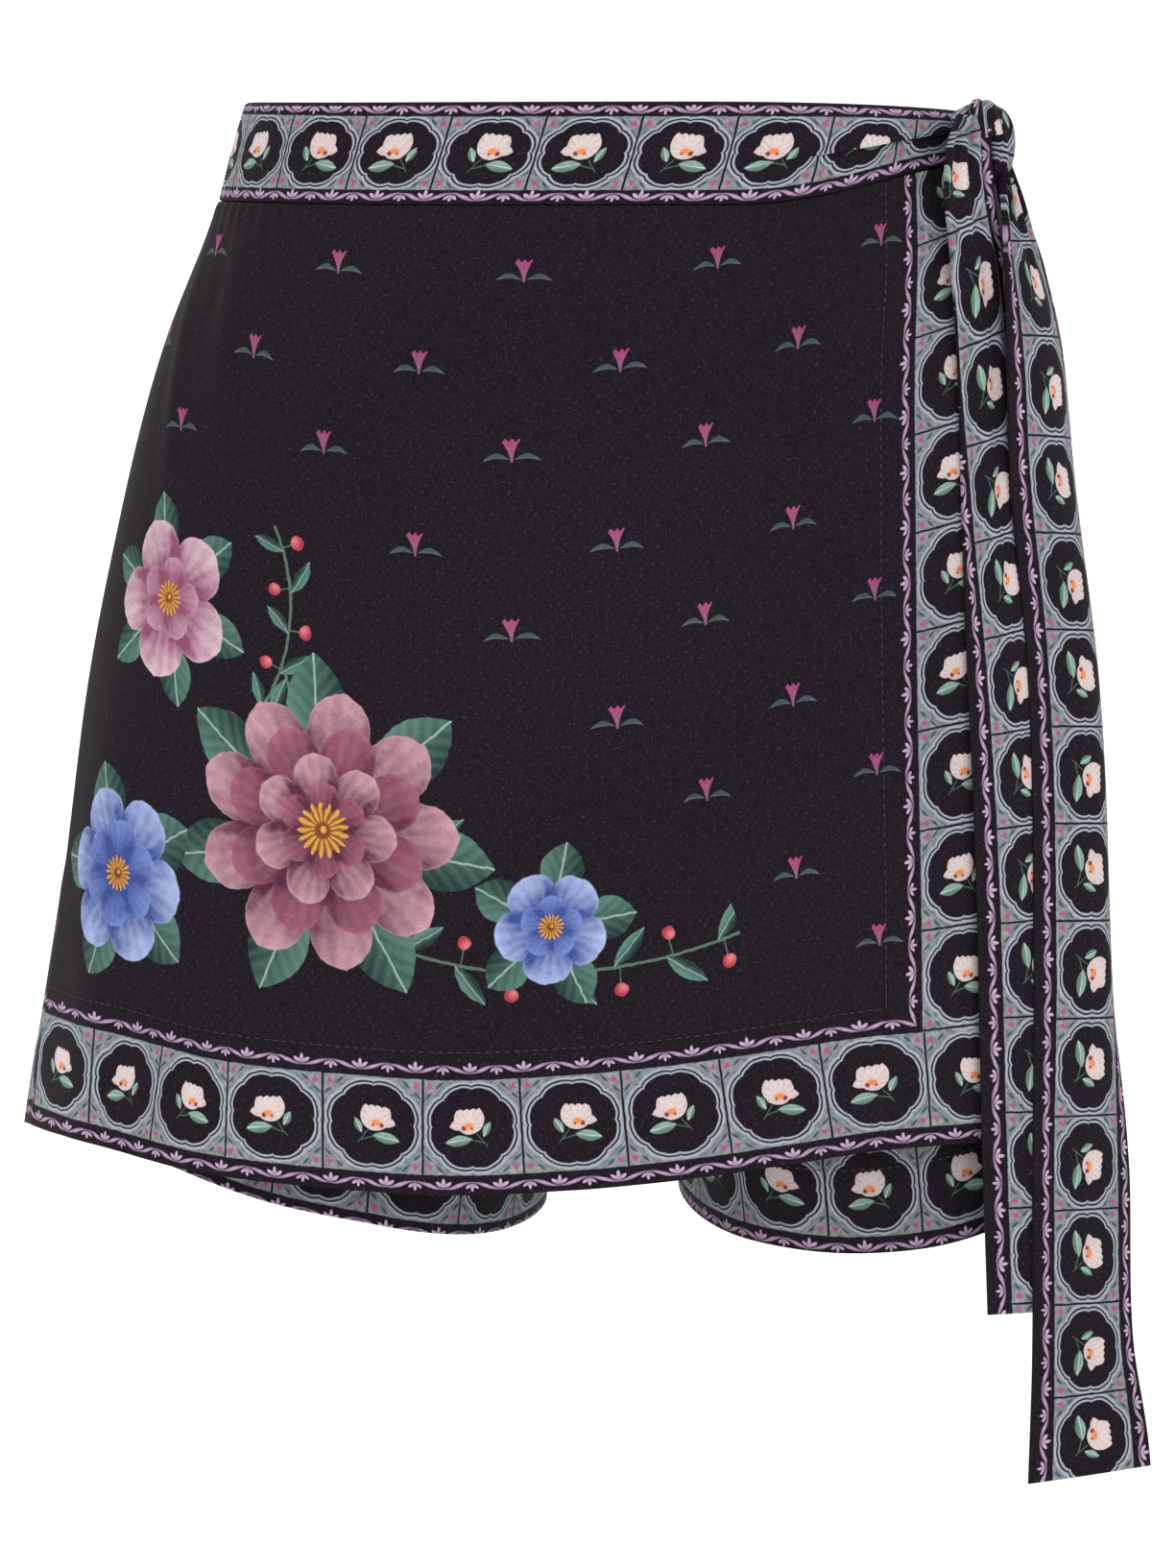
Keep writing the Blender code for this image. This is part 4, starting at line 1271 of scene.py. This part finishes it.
def makeKnot(material):
    turns = [makeTurn(kind, material) for kind in ("overTop", "downFront", "rightLoop")]
    bpy.ops.mesh.primitive_uv_sphere_add(segments=28, ring_count=18, radius=1)
    core = bpy.context.object
    core.name = "knotCore"
    core.data.materials.append(material)
    spots = np.array([vertex.co for vertex in core.data.vertices])
    lumps = 1 + 0.07 * np.sin(5 * spots[:, 2] + 3 * spots[:, 0]) + 0.05 * np.sin(7 * spots[:, 0])
    sized = spots * np.array(knot["core"]) * lumps[:, None]
    core.data.vertices.foreach_set("co", knotPlace(*sized.T).astype(np.float32).ravel())
    core.data.uv_layers[0].name = "OFBake"
    printMap = core.data.uv_layers.new(name="print")
    for entry in printMap.data:
        entry.uv = (0.002, 0.0005)
    selectOnly(*turns, core)
    bpy.ops.object.join()
    piece = bpy.context.object
    piece.name = piece.data.name = "tiedKnot"
    shelfMaps(piece)
    editAll(piece, bpy.ops.mesh.normals_make_consistent, inside=False)
    smooth(piece)
    return piece


def shelfMaps(piece):  # the joined parts side by side on their flat map
    mesh = piece.data
    layer = mesh.uv_layers["OFBake"]
    flat = readAll(layer.data, "uv", np.float32, 2)
    sizes = np.cumsum(partSizes(mesh))
    part = np.searchsorted(sizes, readAll(mesh.loops, "vertex_index"), side="right")
    flat[:, 0] = (part + flat[:, 0] * 0.98) / len(sizes)
    layer.data.foreach_set("uv", flat.ravel())


def partSizes(mesh):  # points in each loose part, in their order
    parent = list(range(len(mesh.vertices)))

    def root(k):
        while parent[k] != k:
            parent[k] = parent[parent[k]]
            k = parent[k]
        return k
    for edge in mesh.edges:
        a, b = (root(k) for k in edge.vertices)
        parent[max(a, b)] = min(a, b)
    roots = np.array([root(k) for k in range(len(parent))])
    return np.unique(roots, return_counts=True)[1]


# Stitches: small thread capsules in rows, joined into one piece for each cloth
stitching = {"pitch": 3.3, "long": 2.1, "thick": 0.26, "proud": 0.06}  # mm


def faceNormals(points):
    down, across = np.gradient(points, axis=0), np.gradient(points, axis=1)
    square = unit(np.cross(down, across))
    outward = np.sum(square * (points - points.mean(axis=(0, 1))), axis=-1).mean()
    return square * np.sign(outward)


def threadRow(points, values, level, axis, first=0.0, last=1.0):  # where a map has one value
    if axis == 1:
        points, values = points.transpose(1, 0, 2), values.T
    normals = faceNormals(points)
    found = []
    for column in range(points.shape[1]):
        order = np.argsort(values[:, column])
        both = np.hstack([points[order, column], normals[order, column]])
        found.append(readAt(level, values[order, column], both))
    spots, outs = np.split(np.array(found), 2, axis=1)
    run = lengthAlong(spots[None], 1)[0]
    start, end = run[-1] * first, run[-1] * last
    count = max(int((end - start) / (stitching["pitch"] * mm)), 2)
    places = start + (np.arange(count) + 0.5) / count * (end - start)
    reach = stitching["long"] / 2 * mm
    start, end = (readAt(places + shift, run, spots) for shift in (-reach, reach))
    return (start + end) / 2, end - start, readAt(places, run, outs)


def makeStitches(name, rows, material):
    bpy.ops.mesh.primitive_uv_sphere_add(segments=6, ring_count=4, radius=0.5)
    one = bpy.context.object
    shape = np.array([vertex.co for vertex in one.data.vertices])
    faces = [tuple(polygon.vertices) for polygon in one.data.polygons]
    bpy.data.objects.remove(one)
    spots, runs, outs = (np.concatenate([row[k] for row in rows]) for k in range(3))
    outs = unit(outs)
    side = unit(np.cross(outs, runs))
    thick = stitching["thick"] * mm
    spots = spots + outs * stitching["proud"] * mm
    corners = sum(shape[None, :, k:k + 1] * way[:, None]
                  for k, way in enumerate((side * thick, outs * thick, runs))) + spots[:, None]
    joined = [[k + len(shape) * n for k in face] for n in range(len(spots)) for face in faces]
    mesh = bpy.data.meshes.new(name)
    mesh.from_pydata(corners.reshape(-1, 3).tolist(), [], joined)
    mesh.materials.append(material)
    piece = bpy.data.objects.new(name, mesh)
    bpy.context.collection.objects.link(piece)
    smooth(piece, 180)
    return piece


def makeThread():
    material, tree = startMaterial("thread")
    place = addNode(tree, "TexCoord", {})
    twist = addNode(tree, "TexNoise", {"Scale": 900.0, "Vector": place.outputs["Object"]})
    tone = mixed(tree, *cloth["thread"], twist.outputs["Fac"])
    setShader(tree, {"Base Color": tone, "Roughness": 0.6})
    return material


# The studio
studio = {
    "floor": -0.56, "paper": {"size": 7.0, "middle": (0, -0.7), "tall": 4.0, "round": 1.2},
    "camera": (-0.009, -2.4, -0.25), "sensor": 36.0,
    "seen": 0.574816,  # metres that show from top to bottom
    "world": 0.61, "backdrop": (0.93, 0.93, 0.93), "glow": 0.45,
    # place, size, watts, colour
    "lights": {
        "keyLight": ((-1.3, -2.2, 1.1), 1.8, 17.2, (1.0, 0.985, 0.97)),
        "fillLight": ((1.9, -1.7, 0.5), 1.6, 8.0, (0.97, 0.985, 1.0)),
        "topLight": ((0.1, 0.5, 1.9), 1.6, 9.5, (1.0, 1.0, 1.0)),
    },
}


def makeBackdrop():
    paper = studio["paper"]
    place = (*paper["middle"], studio["floor"])
    bpy.ops.mesh.primitive_plane_add(size=paper["size"], location=place)
    backdrop = bpy.context.object
    backdrop.name = "backdrop"
    bpy.ops.object.mode_set(mode="EDIT")
    bpy.ops.mesh.select_all(action="DESELECT")
    bpy.ops.mesh.select_mode(type="EDGE")
    bpy.ops.object.mode_set(mode="OBJECT")
    for edge in backdrop.data.edges:
        ends = [backdrop.data.vertices[k].co.y for k in edge.vertices]
        edge.select = min(ends) > paper["size"] * 0.48
    bpy.ops.object.mode_set(mode="EDIT")
    bpy.ops.mesh.extrude_region_move(TRANSFORM_OT_translate={"value": (0, 0, paper["tall"])})
    bpy.ops.object.mode_set(mode="OBJECT")
    applyModifier(backdrop, "BEVEL", width=paper["round"], segments=16, limit_method="ANGLE")
    smooth(backdrop, 40)
    material, tree = startMaterial("paper")
    grain = addNode(tree, "TexNoise", {"Scale": 3.0})
    pale = tuple(0.99 * part for part in studio["backdrop"])
    tone = mixed(tree, pale, studio["backdrop"], grain.outputs["Fac"])
    setShader(tree, {"Base Color": tone, "Roughness": 0.9, "Emission Color": (1, 1, 1),
                     "Emission Strength": studio["glow"]})
    backdrop.data.materials.append(material)
    backdrop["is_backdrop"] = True


def makeStudio():
    makeBackdrop()
    for name, (place, size, watts, colour) in studio["lights"].items():
        lamp = bpy.data.lights.new(name, "AREA")
        lamp.shape, lamp.size = "DISK", size
        lamp.energy, lamp.color = watts, colour
        holder = bpy.data.objects.new(name, lamp)
        holder.location = place
        aim = Vector((0, 0, studio["camera"][2])) - Vector(place)
        holder.rotation_euler = aim.to_track_quat("-Z", "Y").to_euler()
        bpy.context.collection.objects.link(holder)
    world = bpy.data.worlds.new("studio")
    world.use_nodes = True
    light = {"Color": (1, 1, 1), "Strength": studio["world"]}
    setInputs(world.node_tree, world.node_tree.nodes["Background"], light)
    bpy.context.scene.world = world
    lens = bpy.data.cameras.new("camera")
    lens.sensor_fit, lens.sensor_height = "VERTICAL", studio["sensor"]
    lens.lens = studio["sensor"] * -studio["camera"][1] / studio["seen"]
    camera = bpy.data.objects.new("camera", lens)
    camera.location = studio["camera"]
    camera.rotation_euler = (math.pi / 2, 0, 0)
    bpy.context.collection.objects.link(camera)
    bpy.context.scene.camera = camera
    bpy.context.scene.view_settings.view_transform = "Standard"


# Put together
selectOnly()
makeStudio()
print("studio ready")

sprigCloth = makeSprigCloth("sprigPrint", "print", False)
sprayEdge = makeSprigCloth("sprigPrintWrap", "sprigPrint", True)
sprayCloth, wrapBorder = makeSprayCloth(), makeWrapBorder()
legBorder = makeBorderCloth("legBorderPrint", "leg", 0.0)
paintedShadeBorder = makeBorderCloth("paintedShadeBorderPrint", "leg", 0.0, 0.72)  # painted shade: the front legs' border is darkened where it lies under the wrap
waistFront = makeWaistCloth("waistFrontPrint", 32.9, True)
waistBack = makeWaistCloth("waistBackPrint", 12.0, False)
longPrint = makeBorderCloth("longTiePrint", "tie", 44.6)
shortPrint = makeBorderCloth("shortTiePrint", "tie", 1.8)
wrongCloth = makeWrongSide()
thread = makeThread()
print("cloths ready")

wrapPanel, wrapPoints, wrapU, wrapV = makeOverlay(wrapBorder, sprayEdge, sprayCloth, wrongCloth)
standsFor(wrapPanel, "overlay_panel")
print("wrap panel ready")

sewing = {"hemStitches": [
    threadRow(wrapPoints, wrapV, overlay["facing"][1] * mm, 0, 0.0, 0.855),
    threadRow(wrapPoints, wrapU, overlay["facing"][0] * mm, 1, 0.0, 0.858)], "legStitches": []}
for side in (-1, 1):
    for face in (-1, 1):
        # the front legs take the border copy with painted shade, the back legs the unshaded one
        border = legBorder if face > 0 else paintedShadeBorder
        leg, legPoints, legRise = makeShorts(side, face, border, sprigCloth, wrongCloth)
        node = "shorts_" + ("front" if face < 0 else "back") + ("_left" if side < 0 else "_right")
        standsFor(leg, node)
        hem = threadRow(legPoints, legRise, shorts["hemStitch"] * mm, 0, 0.01, 0.99)
        sewing["legStitches"].append(hem)
print("shorts ready")

bandFront = makeBand("bandFront", band["leftSeam"], band["frontEnd"], waistFront, wrongCloth)
standsFor(bandFront, "waistband_front")
bandBack = makeBand(
    "bandBack", band["frontEnd"], band["leftSeam"] + math.tau, waistBack, wrongCloth)
standsFor(bandBack, "waistband_back")
shortTie = makeTie("shortTie", "short", shortPrint)
standsFor(shortTie, "tie_short")
longTie = makeTie("longTie", "long", longPrint)
standsFor(longTie, "tie_long")
tiedKnot = makeKnot(longPrint)
standsFor(tiedKnot, "knot")
print("waistband, ties and knot ready")

for name, rows in sewing.items():
    stitches = makeStitches(name, rows, thread)
    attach(stitches, "root")
print("stitches ready")

boxes = {"cad": cadBox, "visual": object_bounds()}
boxes = {name: [list(corner) for corner in box] for name, box in boxes.items()}
